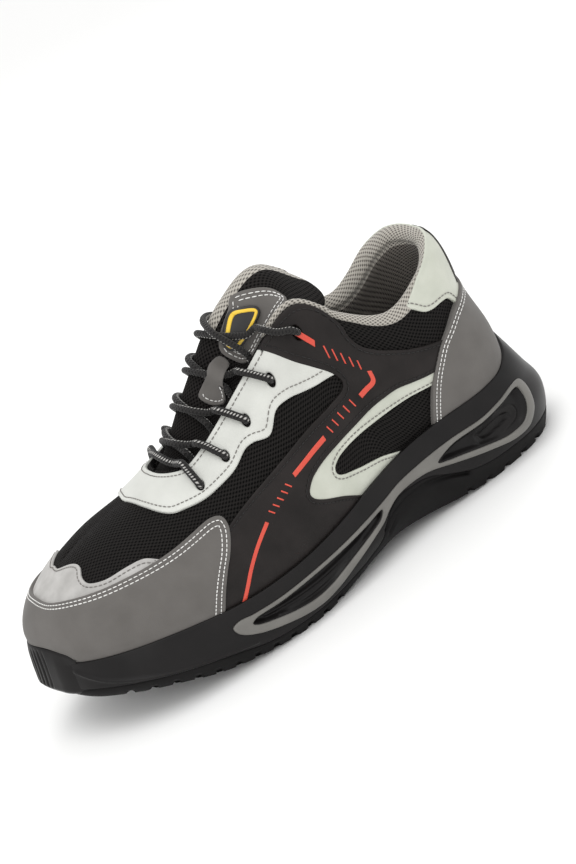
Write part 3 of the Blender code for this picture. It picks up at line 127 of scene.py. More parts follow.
# The shoe's own measures. Ribs start on its centre line, at a station t (0 heel, 1 toe), and run outwards
# and down. u is the station along the outer side (0 to 1) and back along the inner side (1 to 2);
# v climbs a rib: 0 at the footbed, topLine at the collar and lacing edge, 1 on the ridge.
shoe = {
    "soleLength": 294 * mm,
    "ballWidth": 106 * mm,
    "stack": 37 * mm,
    "upperHeight": 100 * mm,
    "wall": 2.2 * mm,
    "clearance": 0.3 * mm,
    "rimWall": 3.4 * mm,
    "topLine": 0.75,
    "aside": -0.5 * mm,
    "chartAlong": 320 * mm,  # one unit of u, laid flat
    "chartAcross": 110 * mm,  # one unit of v, laid flat
}


# Tables of the form, in shares of the sizes above.
spine = [
    (0, 0.347, 0, 0.024), (0.07, 0.344, 36, 0.024), (0.14, 0.323, 70, 0.024), (0.22, 0.259, 87, 0.026),
    (0.34, 0.136, 90, 0.029), (0.46, 0.014, 90, 0.034), (0.58, -0.109, 92, 0.042), (0.7, -0.218, 99, 0.051),
    (0.79, -0.286, 114, 0.061), (0.87, -0.33, 136, 0.068), (0.94, -0.354, 158, 0.073),
    (1, -0.364, 180, 0.075),
]
bed = [
    (-0.5, 0.94, 0.72), (-0.482, 0.93, 0.67), (-0.455, 0.91, 0.57), (-0.397, 0.87, 0.44),
    (-0.335, 0.82, 0.31), (-0.27, 0.75, 0.15), (-0.206, 0.68, 0.06), (-0.142, 0.65, 0.01), (-0.12, 0.65, 0),
    (-0.075, 0.66, 0), (-0.01, 0.71, 0.07), (0.044, 0.78, 0.15), (0.094, 0.86, 0.19), (0.168, 0.96, 0.14),
    (0.242, 1, 0.06), (0.316, 1, 0), (0.449, 1, 0), (0.49, 1, 0.1), (0.52, 1, 0.2),
]
rim = [
    (0, 0.5), (0.04, 0.38), (0.07, 0.22), (0.1, 0.14), (0.14, 0.12), (0.22, 0.14), (0.46, 0.13),
    (0.7, 0.13), (0.79, 0.14), (1, 0.18),
]
upperRise = [
    (0, 0.23, 0.48, 0.79, 0.93), (0.07, 0.23, 0.43, 0.75, 0.92), (0.14, 0.21, 0.4, 0.66, 0.88),
    (0.22, 0.18, 0.37, 0.605, 0.86), (0.28, 0.17, 0.42, 0.74, 0.95), (0.34, 0.17, 0.49, 0.945, 1.07),
    (0.4, 0.18, 0.485, 0.91, 1), (0.46, 0.19, 0.47, 0.825, 0.91), (0.58, 0.2, 0.42, 0.655, 0.72),
    (0.7, 0.19, 0.35, 0.533, 0.568), (0.79, 0.18, 0.32, 0.465, 0.503), (0.87, 0.17, 0.3, 0.413, 0.453),
    (0.94, 0.17, 0.28, 0.37, 0.42), (1, 0.165, 0.27, 0.355, 0.407),
]
upperOuter = [
    (0, 0.273, 0.269, 0.236, 0.212), (0.07, 0.282, 0.288, 0.255, 0.226), (0.14, 0.301, 0.311, 0.292, 0.245),
    (0.22, 0.318, 0.33, 0.316, 0.264), (0.28, 0.325, 0.344, 0.321, 0.259),
    (0.34, 0.343, 0.363, 0.321, 0.241), (0.4, 0.372, 0.387, 0.335, 0.203),
    (0.46, 0.409, 0.42, 0.354, 0.175), (0.58, 0.46, 0.465, 0.382, 0.17), (0.7, 0.458, 0.463, 0.396, 0.17),
    (0.79, 0.432, 0.438, 0.378, 0.174), (0.87, 0.372, 0.381, 0.322, 0.158),
    (0.94, 0.304, 0.318, 0.268, 0.14), (1, 0.283, 0.302, 0.245, 0.132),
]
upperInner = [
    (0, 0.273, 0.269, 0.236, 0.212), (0.07, 0.277, 0.283, 0.253, 0.226), (0.14, 0.287, 0.302, 0.283, 0.245),
    (0.22, 0.273, 0.302, 0.297, 0.259), (0.28, 0.249, 0.292, 0.292, 0.255),
    (0.34, 0.23, 0.283, 0.283, 0.236), (0.4, 0.244, 0.292, 0.288, 0.203),
    (0.46, 0.273, 0.316, 0.302, 0.175), (0.58, 0.358, 0.373, 0.335, 0.17), (0.7, 0.381, 0.387, 0.34, 0.17),
    (0.79, 0.38, 0.385, 0.333, 0.168), (0.87, 0.34, 0.348, 0.297, 0.152), (0.94, 0.296, 0.31, 0.26, 0.138),
    (1, 0.283, 0.302, 0.245, 0.132),
]
innerCollar = [
    (0, 0), (0.04, 0.025), (0.07, 0.06), (0.1, 0.095), (0.14, 0.11), (0.18, 0.08), (0.22, 0.045),
    (0.28, 0.02), (0.34, 0), (0.38, 0), (0.5, 0), (1, 0),
]
soleRise = [
    (0, 0.54, 0.9), (0.07, 0.51, 0.86), (0.14, 0.47, 0.86), (0.22, 0.46, 0.84), (0.34, 0.44, 0.76),
    (0.46, 0.36, 0.6), (0.58, 0.25, 0.51), (0.7, 0.36, 0.6), (0.79, 0.52, 0.72), (0.87, 0.62, 0.8),
    (0.94, 0.7, 0.86), (1, 0.74, 0.9),
]
soleOuter = [
    (0, 0.377, 0.425, 0.386), (0.07, 0.358, 0.415, 0.38), (0.14, 0.34, 0.405, 0.388),
    (0.22, 0.36, 0.402, 0.392), (0.34, 0.362, 0.415, 0.41), (0.46, 0.434, 0.486, 0.474),
    (0.58, 0.505, 0.541, 0.524), (0.7, 0.498, 0.536, 0.526), (0.79, 0.474, 0.514, 0.505),
    (0.87, 0.41, 0.446, 0.44), (0.94, 0.346, 0.374, 0.368), (1, 0.322, 0.352, 0.347),
]
soleInner = [
    (0, 0.377, 0.425, 0.386), (0.07, 0.355, 0.408, 0.375), (0.14, 0.335, 0.396, 0.375),
    (0.22, 0.31, 0.362, 0.352), (0.34, 0.255, 0.31, 0.305), (0.46, 0.295, 0.35, 0.343),
    (0.58, 0.395, 0.436, 0.428), (0.7, 0.422, 0.462, 0.454), (0.79, 0.42, 0.458, 0.45),
    (0.87, 0.376, 0.412, 0.407), (0.94, 0.336, 0.363, 0.358), (1, 0.322, 0.352, 0.347),
]
parting = [
    (0, 0.24), (0.14, 0.25), (0.2, 0.3), (0.25, 0.46), (0.28, 0.61), (0.32, 0.67), (0.36, 0.65),
    (0.385, 0.52), (0.405, 0.36), (0.44, 0.25), (0.5, 0.16), (0.58, 0.14), (0.64, 0.18), (0.7, 0.32),
    (0.79, 0.55), (0.87, 0.69), (0.94, 0.74), (1, 0.76),
]
tongue = [
    (0.24, -0.03, 0.06), (0.31, 0.015, 0.08), (0.35, 0.065, 0.095), (0.4, 0.11, 0.11), (0.45, 0.115, 0.105),
    (0.5, 0.09, 0.085), (0.55, 0.06, 0.065), (0.6, 0.01, 0.042), (0.65, -0.04, 0.034), (0.72, -0.04, 0.03),
]
tongueEnd = [
    (0.6, 0.4), (0.72, 0.36), (0.8, 0.296), (0.87, 0.266), (0.94, 0.266), (1, 0.284), (1.08, 0.318),
    (1.16, 0.35), (1.28, 0.382), (1.4, 0.4),
]
tongueSide = 0.63
onRim = -1.0


def bend(low, high, leave, arrive, s):
    # From low to high while s runs from 0 to 1; leave and arrive are the slopes at the ends.
    return (low * (1 + 2 * s) * (1 - s) ** 2 + leave * s * (1 - s) ** 2
            + high * s * s * (3 - 2 * s) - arrive * s * s * (1 - s))


def bendAt(rows, slopes, i, s):
    # The same between row i and the next one of a table, with its own i for every spot.
    take = lambda table, at: np.take_along_axis(table, at[None], 0)[0]
    return bend(take(rows, i), take(rows, i + 1), take(slopes, i), take(slopes, i + 1), s)


def curve(rows, column, level=True):
    # A smooth curve through one column of a table; level ends it flat at both ends.
    xs = np.array([row[0] for row in rows], float)
    ys = np.array([row[column] for row in rows], float)
    steps = np.diff(ys) / np.diff(xs)
    slopes = np.zeros(len(xs))
    if not level:
        slopes[0], slopes[-1] = steps[0], steps[-1]
    before, after = np.diff(xs)[:-1], np.diff(xs)[1:]
    slopes[1:-1] = (steps[:-1] * after + steps[1:] * before) / (before + after)

    def value(x):
        x = np.clip(x, xs[0], xs[-1])
        i = np.clip(np.searchsorted(xs, x, side="right") - 1, 0, len(xs) - 2)
        h = xs[i + 1] - xs[i]
        return bend(ys[i], ys[i + 1], slopes[i] * h, slopes[i + 1] * h, (x - xs[i]) / h)

    return value


spineX, spineTurn, spineY = curve(spine, 1), curve(spine, 2, level=False), curve(spine, 3)
bedZ, groundZ, rimRise = curve(bed, 1), curve(bed, 2, level=False), curve(rim, 1)
riseCurves = [curve(upperRise, k) for k in (1, 2, 3, 4)]
reachCurves = [[curve(rows, k) for k in (1, 2, 3, 4)] for rows in (upperOuter, upperInner)]
collarCurve = curve(innerCollar, 1)
soleRiseCurves = [curve(soleRise, k) for k in (1, 2)]
soleReachCurves = [[curve(rows, k) for k in (1, 2, 3)] for rows in (soleOuter, soleInner)]
partingCurve = curve(parting, 1)


def ribAt(u):
    # For stations u: side (-1 outer, 1 inner), t, start x and y of the rib, and its way outwards in x and y.
    u = np.asarray(u, float) % 2.0
    side = np.where(u <= 1, -1.0, 1.0)
    t = np.where(u <= 1, u, 2 - u)
    turn = np.radians(spineTurn(t))
    x, y = spineX(t) * shoe["soleLength"], spineY(t) * shoe["ballWidth"] + shoe["aside"]
    return side, t, x, y, np.cos(turn), side * np.sin(turn)


def bedAt(x):
    return bedZ(x / shoe["soleLength"]) * shoe["stack"]


def groundAt(x):
    return np.maximum(groundZ(x / shoe["soleLength"]), 0.0) * shoe["stack"]


def ribMarks(u):
    # Reach and height of the five points that shape the upper along each rib.
    side, t, x, _, wayX, _ = ribAt(u)
    reach = [np.where(side < 0, outer(t), inner(t)) * shoe["ballWidth"] for outer, inner in zip(*reachCurves)]
    base = bedAt(x + reach[0] * wayX)
    extra = np.where(side > 0, collarCurve(t), 0.0)
    rise = [0.0 * t] + [part(t) for part in riseCurves]
    rise = [rise[0], rise[1], rise[2] + 0.4 * extra, rise[3] + extra, rise[4] + extra]
    return np.array(reach + [0.0 * t]), np.array([base + r * shoe["upperHeight"] for r in rise])


def through(marks, v, last):
    # A curve through five marks, at v = 0, 1/4, 1/2, 3/4 and 1.
    v = np.clip(v, 0.0, 1.0) * 4
    i = np.minimum(v.astype(int), 3)
    s = v - i
    slopes = np.array([2 * (marks[1] - marks[0]) - (marks[2] - marks[0]) / 2]
                      + [(marks[k + 1] - marks[k - 1]) / 2 for k in (1, 2, 3)] + [last])
    return bendAt(marks, slopes, i, s)


def upperPoint(u, v):
    u, v = np.broadcast_arrays(np.asarray(u, float), np.asarray(v, float))
    shape = u.shape
    u, v = u.ravel(), v.ravel()
    _, _, x, y, wayX, wayY = ribAt(u)
    reach, height = ribMarks(u)
    r = through(reach, v, -reach[3])
    z = through(height, v, 0.0 * v)
    return np.stack([x + r * wayX, y + r * wayY, z], -1).reshape(shape + (3,))


def unit(way):
    return way / np.maximum(np.linalg.norm(way, axis=-1, keepdims=True), 1e-12)


def upperNormal(u, v):
    along = upperPoint(u + 0.003, v) - upperPoint(u - 0.003, v)
    up = upperPoint(u, np.minimum(v + 0.006, 1.0)) - upperPoint(u, np.maximum(v - 0.006, 0.0))
    return unit(np.cross(up, along))


def onUpper(u, v, lift):
    return upperPoint(u, v) + np.asarray(lift)[..., None] * upperNormal(u, v)


def halve(low, high, above):
    # The place between low and high where above() turns true.
    for _ in range(22):
        middle = (low + high) / 2
        found = above(middle)
        low, high = np.where(found, low, middle), np.where(found, middle, high)
    return low


def upperLevel(u, z):
    return halve(np.zeros(np.shape(u)), np.full(np.shape(u), 0.6), lambda v: upperPoint(u, v)[..., 2] >= z)


def upperReachAt(u, z):
    _, _, x, y, _, _ = ribAt(u)
    place = upperPoint(u, upperLevel(u, z))
    return np.hypot(place[..., 0] - x, place[..., 1] - y)


def soleMarks(u):
    # Reach and height of the tread edge, widest line, hollow and rim of the sole.
    side, t, x, _, wayX, _ = ribAt(u)
    sides = zip(*soleReachCurves)
    reach = [np.where(side < 0, outer(t), inner(t)) * shoe["ballWidth"] for outer, inner in sides]
    feather = np.where(side < 0, reachCurves[0][0](t), reachCurves[1][0](t)) * shoe["ballWidth"]
    rimZ = bedAt(x + feather * wayX) + rimRise(t) * shoe["stack"]
    height = [groundAt(x + reach[0] * wayX)] + [part(t) * shoe["stack"] for part in soleRiseCurves] + [rimZ]
    reach.append(upperReachAt(u, rimZ) + shoe["clearance"] + shoe["rimWall"])
    return np.array(reach), np.array(height)


def soleSide(marks, w):
    # Reach and height on the sole's side: w is 0 at the tread's edge and 1 at the rim.
    w = np.clip(w, 0.0, 1.0) * 3
    i = np.minimum(w.astype(int), 2)
    s = w - i
    out = []
    for rows in marks:
        slopes = np.array([1.5 * (rows[1] - rows[0]) - (rows[2] - rows[1]) / 2, (rows[2] - rows[0]) / 2,
                           (rows[3] - rows[1]) / 2, 1.5 * (rows[3] - rows[2]) - (rows[2] - rows[1]) / 2])
        out.append(bendAt(rows, slopes, i, s))
    return out


def soleLevel(marks, z):
    return halve(np.zeros(marks[0][0].shape), np.ones(marks[0][0].shape),
                 lambda w: soleSide(marks, w)[1] >= z)


def aboveRim(u):
    return upperLevel(u, soleMarks(u)[1][3] - 2.5 * mm)  # sewn pieces run down behind the sole's rim


# Charts: each lays a flat drawing (a along, b across, in metres) on the shoe, at a lift over its surface.
flatSize = (shoe["chartAlong"], shoe["chartAcross"])


def aroundChart(a, b, lift):
    return onUpper(a / shoe["chartAlong"], b / shoe["chartAcross"], lift)


def acrossChart(a, b, lift):
    t, q = a / shoe["chartAlong"], b / shoe["chartAcross"]
    u, v = np.where(q <= 1, t, 2 - t), np.where(q <= 1, q, 2 - q)
    share = np.clip((v - 0.9) / 0.2, 0.0, 0.5)[..., None]
    tilt = upperNormal(u, v) * (1 - share) + upperNormal(2 - u, v) * share
    return upperPoint(u, v) + np.asarray(lift)[..., None] * unit(tilt)


tongueMiddle, tongueThick = curve(tongue, 1), curve(tongue, 2)
tongueEndCurve = curve(tongueEnd, 1, level=False)


def tonguePoint(t, q, depth=0.0):
    # Place on the tongue's front face, or depth (0 to 1) of its thickness behind it. q is 1 in the middle.
    t, q, depth = np.broadcast_arrays(np.asarray(t, float), np.asarray(q, float), np.asarray(depth, float))
    u, v = np.where(q <= 1, t, 2 - t), np.where(q <= 1, q, 2 - q)
    s = np.clip((v - 0.80) / 0.20, 0.0, 1.0)
    under = -shoe["wall"] - 1.8 * mm
    swell = under + (tongueMiddle(t) * shoe["upperHeight"] - under) * s * s * (3 - 2 * s)
    side = np.clip((v - tongueSide) / 0.12, 0.0, 1.0)
    thick = tongueThick(t) * shoe["upperHeight"] * (0.45 + 0.55 * side * (2 - side))
    lift = (swell - thick * depth)[..., None]
    share = np.clip((v - 0.9) / 0.2, 0.0, 0.5)[..., None]
    tilt = unit(upperNormal(u, v) * (1 - share) + upperNormal(2 - u, v) * share)
    return upperPoint(u, v) + lift * tilt


def tongueChart(a, b, lift):
    t, q = a / shoe["chartAlong"], b / shoe["chartAcross"]
    along = tonguePoint(t + 0.004, q) - tonguePoint(t - 0.004, q)
    over = tonguePoint(t, q + 0.01) - tonguePoint(t, q - 0.01)
    normal = unit(np.cross(over, along))
    normal = normal * np.where(normal[..., 2:3] > 0, 1.0, -1.0)
    return tonguePoint(t, q) + np.asarray(lift)[..., None] * normal


# The sole's side as a flat drawing: a is the place along the shoe and b the height over the floor.
mapStations = np.linspace(0.0, 1.0, 401)


def placesAlong(side):
    u = mapStations if side < 0 else 2.0 - mapStations
    marks = soleMarks(u)
    _, _, x, _, wayX, _ = ribAt(u)
    return x + soleSide(marks, np.full(u.shape, 0.5))[0] * wayX


alongOuter, alongInner = placesAlong(-1), placesAlong(1)


def soleChart(side):
    def place(a, b, lift):
        along = alongOuter if side < 0 else alongInner
        t = np.interp(a, along[::-1], mapStations[::-1])
        u = t if side < 0 else 2.0 - t
        return soleSpot(u, b, lift)

    return place


def soleSpot(u, z, lift):
    marks = soleMarks(u)
    w = soleLevel(marks, z)
    here = soleSide(marks, w)
    ahead, behind = soleSide(marks, w + 0.01), soleSide(marks, w - 0.01)
    slope = unit(np.stack([ahead[1] - behind[1], behind[0] - ahead[0]], -1))  # outwards and up
    _, _, x, y, wayX, wayY = ribAt(u)
    r, height = here[0] + lift * slope[..., 0], here[1] + lift * slope[..., 1]
    return np.stack([x + r * wayX, y + r * wayY, height], -1)


print("surface functions ready")


def addPiece(name, points, faces, material, drawn=None):
    # One named object that rides on the shoe; drawn holds each point's place in its pattern, in millimetres.
    mesh = bpy.data.meshes.new(name)
    mesh.from_pydata(np.asarray(points, float).reshape(-1, 3).tolist(), [], faces)
    if drawn is not None:
        cloth = mesh.uv_layers.new(name="cloth")
        corner = np.zeros(len(mesh.loops), int)
        mesh.loops.foreach_get("vertex_index", corner)
        cloth.data.foreach_set("uv", np.asarray(drawn, np.float32).reshape(-1, 2)[corner].ravel())
    mesh.validate()
    mesh.shade_smooth()
    made = bpy.data.objects.new(name, mesh)
    scene.collection.objects.link(made)
    for one in material if isinstance(material, (list, tuple)) else [material]:
        mesh.materials.append(one)
    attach(made, "root")
    return made


def gridFaces(rows, columns, closed=False, first=0, flip=False):
    # Quads over a grid of points, row by row.
    faces = []
    for r in range(rows - 1):
        for c in range(columns if closed else columns - 1):
            n = (c + 1) % columns
            low, high = first + r * columns, first + (r + 1) * columns
            ring = (low + c, low + n, high + n, high + c)
            faces.append(ring[::-1] if flip else ring)
    return faces


def outlinePoints(rows, size, spacing):
    # A smooth closed outline through listed marks, and which mark each point follows.
    low = [a for a, b, *_ in rows if b == onRim]
    rimAt = dict(zip(low, aboveRim(np.array(low)))) if low else {}
    marks = [np.array((a * size[0], (rimAt[a] if b == onRim else b) * size[1])) for a, b, *_ in rows]
    corner = [row[2] if len(row) > 2 else 0 for row in rows]
    points, owner = [], []
    for i in range(len(rows)):
        n = (i + 1) % len(rows)
        here, there, before, after = marks[i], marks[n], marks[i - 1], marks[(i + 2) % len(rows)]
        leave = there - here if corner[i] else (there - before) / 2
        arrive = there - here if corner[n] else (after - here) / 2
        reach = float(np.linalg.norm(there - here))
        leave = leave * min(1.0, reach / max(float(np.linalg.norm(leave)), 1e-9))
        arrive = arrive * min(1.0, reach / max(float(np.linalg.norm(arrive)), 1e-9))
        parts = max(1, int(round(reach / spacing)))
        for s in np.arange(parts) / parts:
            points.append(bend(here, there, leave, arrive, s))
            owner.append(i)
    return np.array(points), np.array(owner)


def insetRing(ring, distance):
    # The outline moved inwards by a distance.
    x, y = ring[:, 0], ring[:, 1]
    turn = np.sign(np.sum(x * np.roll(y, -1) - y * np.roll(x, -1)))
    tangent = unit(unit(np.roll(ring, -1, 0) - ring) + unit(ring - np.roll(ring, 1, 0)))
    return ring + turn * distance * np.stack([-tangent[:, 1], tangent[:, 0]], -1)


def insideOf(spots, ring):
    # True for spots that lie inside a closed outline.
    found = np.zeros(len(spots), bool)
    for (ax, ay), (bx, by) in zip(ring, np.roll(ring, -1, 0)):
        if ay != by:
            crossed = (ay > spots[:, 1]) != (by > spots[:, 1])
            found ^= crossed & (spots[:, 0] < ax + (bx - ax) * (spots[:, 1] - ay) / (by - ay))
    return found


def edgeDistance(spots, rings):
    # How far each spot lies from the nearest of the outlines.
    shares = (0.0, 0.25, 0.5, 0.75)
    samples = np.concatenate([ring + (np.roll(ring, -1, 0) - ring) * s for ring in rings for s in shares])
    tree = kdtree.KDTree(len(samples))
    for i, spot in enumerate(samples):
        tree.insert((spot[0], spot[1], 0.0), i)
    tree.balance()
    return np.array([tree.find((spot[0], spot[1], 0.0))[2] for spot in spots])


# How every sewn piece is built up.
sewing = {
    "edgeRound": 0.55 * mm,
    "grooveDepth": 0.26 * mm,
    "grooveWidth": 0.75 * mm,
    "underEdge": -0.5 * mm,  # the cut edge runs this far into what it lies on
    "edgeSpacing": 1.5 * mm,
    "netSpacing": 2.3 * mm,
    "swellReach": 4 * mm,  # how far from the edge a piece takes to grow full
    "rings": (0.18 * mm, 0.55 * mm, 1.2 * mm, 2.0 * mm, 2.8 * mm, 3.8 * mm),
}


def sewnPiece(name, node, rows, chart, top, material, seams=(), thread=None, over=0.0, spans=(None,),
              swell=0.0, fine=1.0, holes=(), size=flatSize):
    # A cut piece sewn on a surface: rounded edge, seams pressed in at these distances from it in millimetres,
    # slightly full between them. A thread runs in the seams, over millimetres above the top of the piece.
    insets = [inset * mm for inset in seams]
    rings = [outlinePoints(r, size, sewing["edgeSpacing"] * fine)[0] for r in (rows, *holes)]
    spots, taken = list(rings), 0
    links = []
    for ring in rings:
        links += [(taken + i, taken + (i + 1) % len(ring)) for i in range(len(ring))]
        taken += len(ring)
    border = taken
    for k, ring in enumerate(rings):
        for inset in sewing["rings"]:
            moved = insetRing(ring, inset if k == 0 else -inset)
            spots.append(moved[edgeDistance(moved, rings) > inset * 0.93])
    low, high = rings[0].min(0), rings[0].max(0)
    step = sewing["netSpacing"] * fine
    across, along = np.meshgrid(np.arange(low[0], high[0], step), np.arange(low[1], high[1], step))
    across[1::2] += step / 2
    net = np.stack([across.ravel(), along.ravel()], -1)
    net = net[insideOf(net, rings[0])]
    spots.append(net[edgeDistance(net, rings) > sewing["rings"][-1] + step * 0.45])
    flat = np.concatenate(spots)
    keep = insideOf(flat, rings[0])
    for hole in rings[1:]:
        keep &= ~insideOf(flat, hole)
    keep[:border] = True
    flat = flat[keep]
    found = geometry.delaunay_2d_cdt([Vector(spot) for spot in flat], links, [], 0, 1e-8)
    flat = np.array([tuple(spot) for spot in found[0]])
    triangles = np.array(list(found[2]))
    middle = flat[triangles].mean(1)
    good = insideOf(middle, rings[0])
    for hole in rings[1:]:
        good &= ~insideOf(middle, hole)
    triangles = triangles[good]
    distance = edgeDistance(flat, rings)
    e = sewing["edgeRound"]
    lift = top - e + e * np.sqrt(np.clip(1 - (1 - np.minimum(distance / e, 1.0)) ** 2, 0, 1))
    for inset in insets:
        lift = lift - sewing["grooveDepth"] * np.exp(-(((distance - inset) / sewing["grooveWidth"]) ** 2))
    if swell:
        lift = lift + swell * (1 - np.exp(-distance / sewing["swellReach"]))
    points = chart(flat[:, 0], flat[:, 1], lift)
    sides = {}
    for a, b, c in triangles:
        for edge in ((a, b), (b, c), (c, a)):
            if edge[::-1] in sides:
                del sides[edge[::-1]]
            else:
                sides[edge] = True
    rim = sorted({k for edge in sides for k in edge})
    under = chart(flat[rim, 0], flat[rim, 1], np.full(len(rim), sewing["underEdge"]))
    at = {k: len(flat) + i for i, k in enumerate(rim)}
    faces = [tuple(t) for t in triangles] + [(b, a, at[a], at[b]) for a, b in sides]
    drawn = np.concatenate([flat, flat[rim]]) / mm
    made = addPiece(name, np.concatenate([points, under]), faces, finish[material], drawn)
    faceOutwards(made, chart, flat[triangles[0]].mean(0), triangles[0])
    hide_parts(node)
    for inset in insets if thread else ():
        for span in spans:
            sewAlong(thread, outlineRun(rows, inset, span), chart, top + over * mm)


def faceOutwards(made, chart, middle, triangle):
    # Turns the piece's faces so that they look away from the shoe.
    low = chart(middle[:1], middle[1:], np.zeros(1))[0]
    high = chart(middle[:1], middle[1:], np.full(1, mm))[0]
    a, b, c = (np.array(made.data.vertices[int(k)].co) for k in triangle)
    if np.dot(np.cross(b - a, c - a), high - low) < 0:
        made.data.flip_normals()


# Stitches: short thread loops along a line, gathered by thread so that each thread is one piece.
stitch = {"pitch": 2.4 * mm, "length": 1.6 * mm, "radius": 0.26 * mm, "sink": 0.05 * mm}
threads = {}


def sewAlong(thread, path, chart, lift, covers=()):
    # Stitches along a line on a chart, left out where one of the covers lies over them.
    pitch, length, radius = stitch["pitch"], stitch["length"], stitch["radius"]
    steps = np.linalg.norm(np.diff(path, axis=0), axis=1)
    run = np.concatenate([[0.0], np.cumsum(steps)])
    spots = np.arange(pitch * 0.6, run[-1] - pitch * 0.4, pitch)
    at = lambda s: np.stack([np.interp(s, run, path[:, 0]), np.interp(s, run, path[:, 1])], -1)
    for ring in covers:
        spots = spots[~insideOf(at(spots), ring)]
    lift = np.full(len(spots), lift + radius * 0.5 - stitch["sink"])
    middle, ahead, behind = at(spots), at(spots + length / 2), at(spots - length / 2)
    first, last = chart(behind[:, 0], behind[:, 1], lift), chart(ahead[:, 0], ahead[:, 1], lift)
    over = chart(middle[:, 0], middle[:, 1], lift + mm) - chart(middle[:, 0], middle[:, 1], lift)
    threads.setdefault(thread, []).append((first, last, unit(over), radius))


def outlineRun(rows, inset, span=None):
    # An outline moved inwards: all round it, or from the first mark of a span to the last.
    ring, owner = outlinePoints(rows, flatSize, 0.8 * mm)
    moved = insetRing(ring, inset)
    if span is None:
        return np.concatenate([moved, moved[:1]])
    first, last = span
    if first <= last:
        return moved[(owner >= first) & (owner < last)]
    return np.concatenate([moved[owner >= first], moved[owner < last]])


def makeThreads(finishes):
    # One piece for each thread: every stitch is a small loop with pinched ends.
    sides = 6
    turns = 2 * np.pi * np.arange(sides) / sides
    for thread, runs in threads.items():
        points, faces, base = [], [], 0
        for first, last, over, radius in runs:
            along = unit(last - first)
            aside = unit(np.cross(along, over))
            over = unit(np.cross(aside, along))
            reach = np.linalg.norm(last - first, axis=1)[:, None]
            rings = []
            for share, wide in ((-0.08, 0.35), (0.10, 0.95), (0.5, 1.05), (0.90, 0.95), (1.08, 0.35)):
                hump = 0.25 * math.sin(math.pi * min(max(share, 0), 1))
                middle = first + along * reach * share + over * radius * hump
                thick = radius * wide
                ring = [middle + thick * (math.cos(a) * aside + 0.75 * math.sin(a) * over) for a in turns]
                rings.append(np.stack(ring, 1))
            block = np.stack(rings, 1)  # stitch, ring, side, xyz
            count = block.shape[0]
            points.append(block.reshape(-1, 3))
            for n in range(count):
                start = base + n * 5 * sides
                faces += gridFaces(5, sides, True, start, flip=True)
                faces += [tuple(start + k for k in range(sides)),
                          tuple(start + 4 * sides + k for k in reversed(range(sides)))]
            base += count * 5 * sides
        addPiece(thread, np.concatenate(points), faces, finishes[thread][0])
    print("stitches sewn:", {name: sum(len(run[0]) for run in runs) for name, runs in threads.items()})


def roundSpot(a, b, c, d, s):
    # Between b and c on a round line through all four.
    return 0.5 * (2 * b + (c - a) * s + (2 * a - 5 * b + 4 * c - d) * s * s + (3 * b - a - 3 * c + d) * s**3)


def smoothLine(marks, parts):
    # A round line through marks.
    marks = np.asarray(marks, float)
    padded = np.concatenate([[2 * marks[0] - marks[1]], marks, [2 * marks[-1] - marks[-2]]])
    out = [roundSpot(*padded[i : i + 4], s) for i in range(len(marks) - 1) for s in np.arange(parts) / parts]
    return np.array(out + [marks[-1]])


def tubeAlong(name, path, radius, material, slot, sides=14, flatten=1.0, over=(0.3, 0.2, 1.0)):
    # A round or slightly flattened strand; its drawing is millimetres along and millimetres round.
    count = len(path)
    radius = np.broadcast_to(np.asarray(radius, float), (count,))
    way = unit(np.gradient(path, axis=0))
    aside = np.zeros_like(path)
    side = np.cross(way[0], over)
    for i in range(count):
        side = side - way[i] * np.dot(side, way[i])
        side = side / np.linalg.norm(side)
        aside[i] = side
    other = np.cross(way, aside)
    turns = 2 * np.pi * np.arange(sides + 1) / sides
    rings = [path + radius[:, None] * (math.cos(a) * aside + flatten * math.sin(a) * other) for a in turns]
    points = np.stack(rings, 1)
    run = np.concatenate([[0.0], np.cumsum(np.linalg.norm(np.diff(path, axis=0), axis=1))])
    drawn = np.stack(np.broadcast_arrays(run[:, None], turns[None] * radius.mean()), -1) / mm
    faces = gridFaces(count, sides + 1)
    faces += [tuple(range(sides)), tuple((count - 1) * (sides + 1) + k for k in reversed(range(sides)))]
    return addPiece(name, points, faces, material, drawn)


print("building tools ready")


# Materials
def addNode(tree, kind, settings=None, links=None):
    node = tree.nodes.new(kind)
    for key, value in (settings or {}).items():
        setattr(node, key, value)
    for key, value in (links or {}).items():
        if isinstance(value, bpy.types.NodeSocket):
            tree.links.new(value, node.inputs[key])
        else:
            node.inputs[key].default_value = value
    return node


def newMaterial(name, hexColour, settings):
    made = bpy.data.materials.new(name)
    made.use_nodes = True
    shader = made.node_tree.nodes["Principled BSDF"]
    shader.inputs["Base Color"].default_value = linear(hexColour)
    for key, value in settings.items():
        shader.inputs[key].default_value = value
    made.diffuse_color = linear(hexColour)
    return made, made.node_tree, shader


def rampNode(tree, field, stops):
    ramp = addNode(tree, "ShaderNodeValToRGB", links={"Fac": field})
    while len(ramp.color_ramp.elements) < len(stops):
        ramp.color_ramp.elements.new(0.5)
    for element, (place, hexColour) in zip(ramp.color_ramp.elements, stops):
        element.position, element.color = place, linear(hexColour)
    return ramp


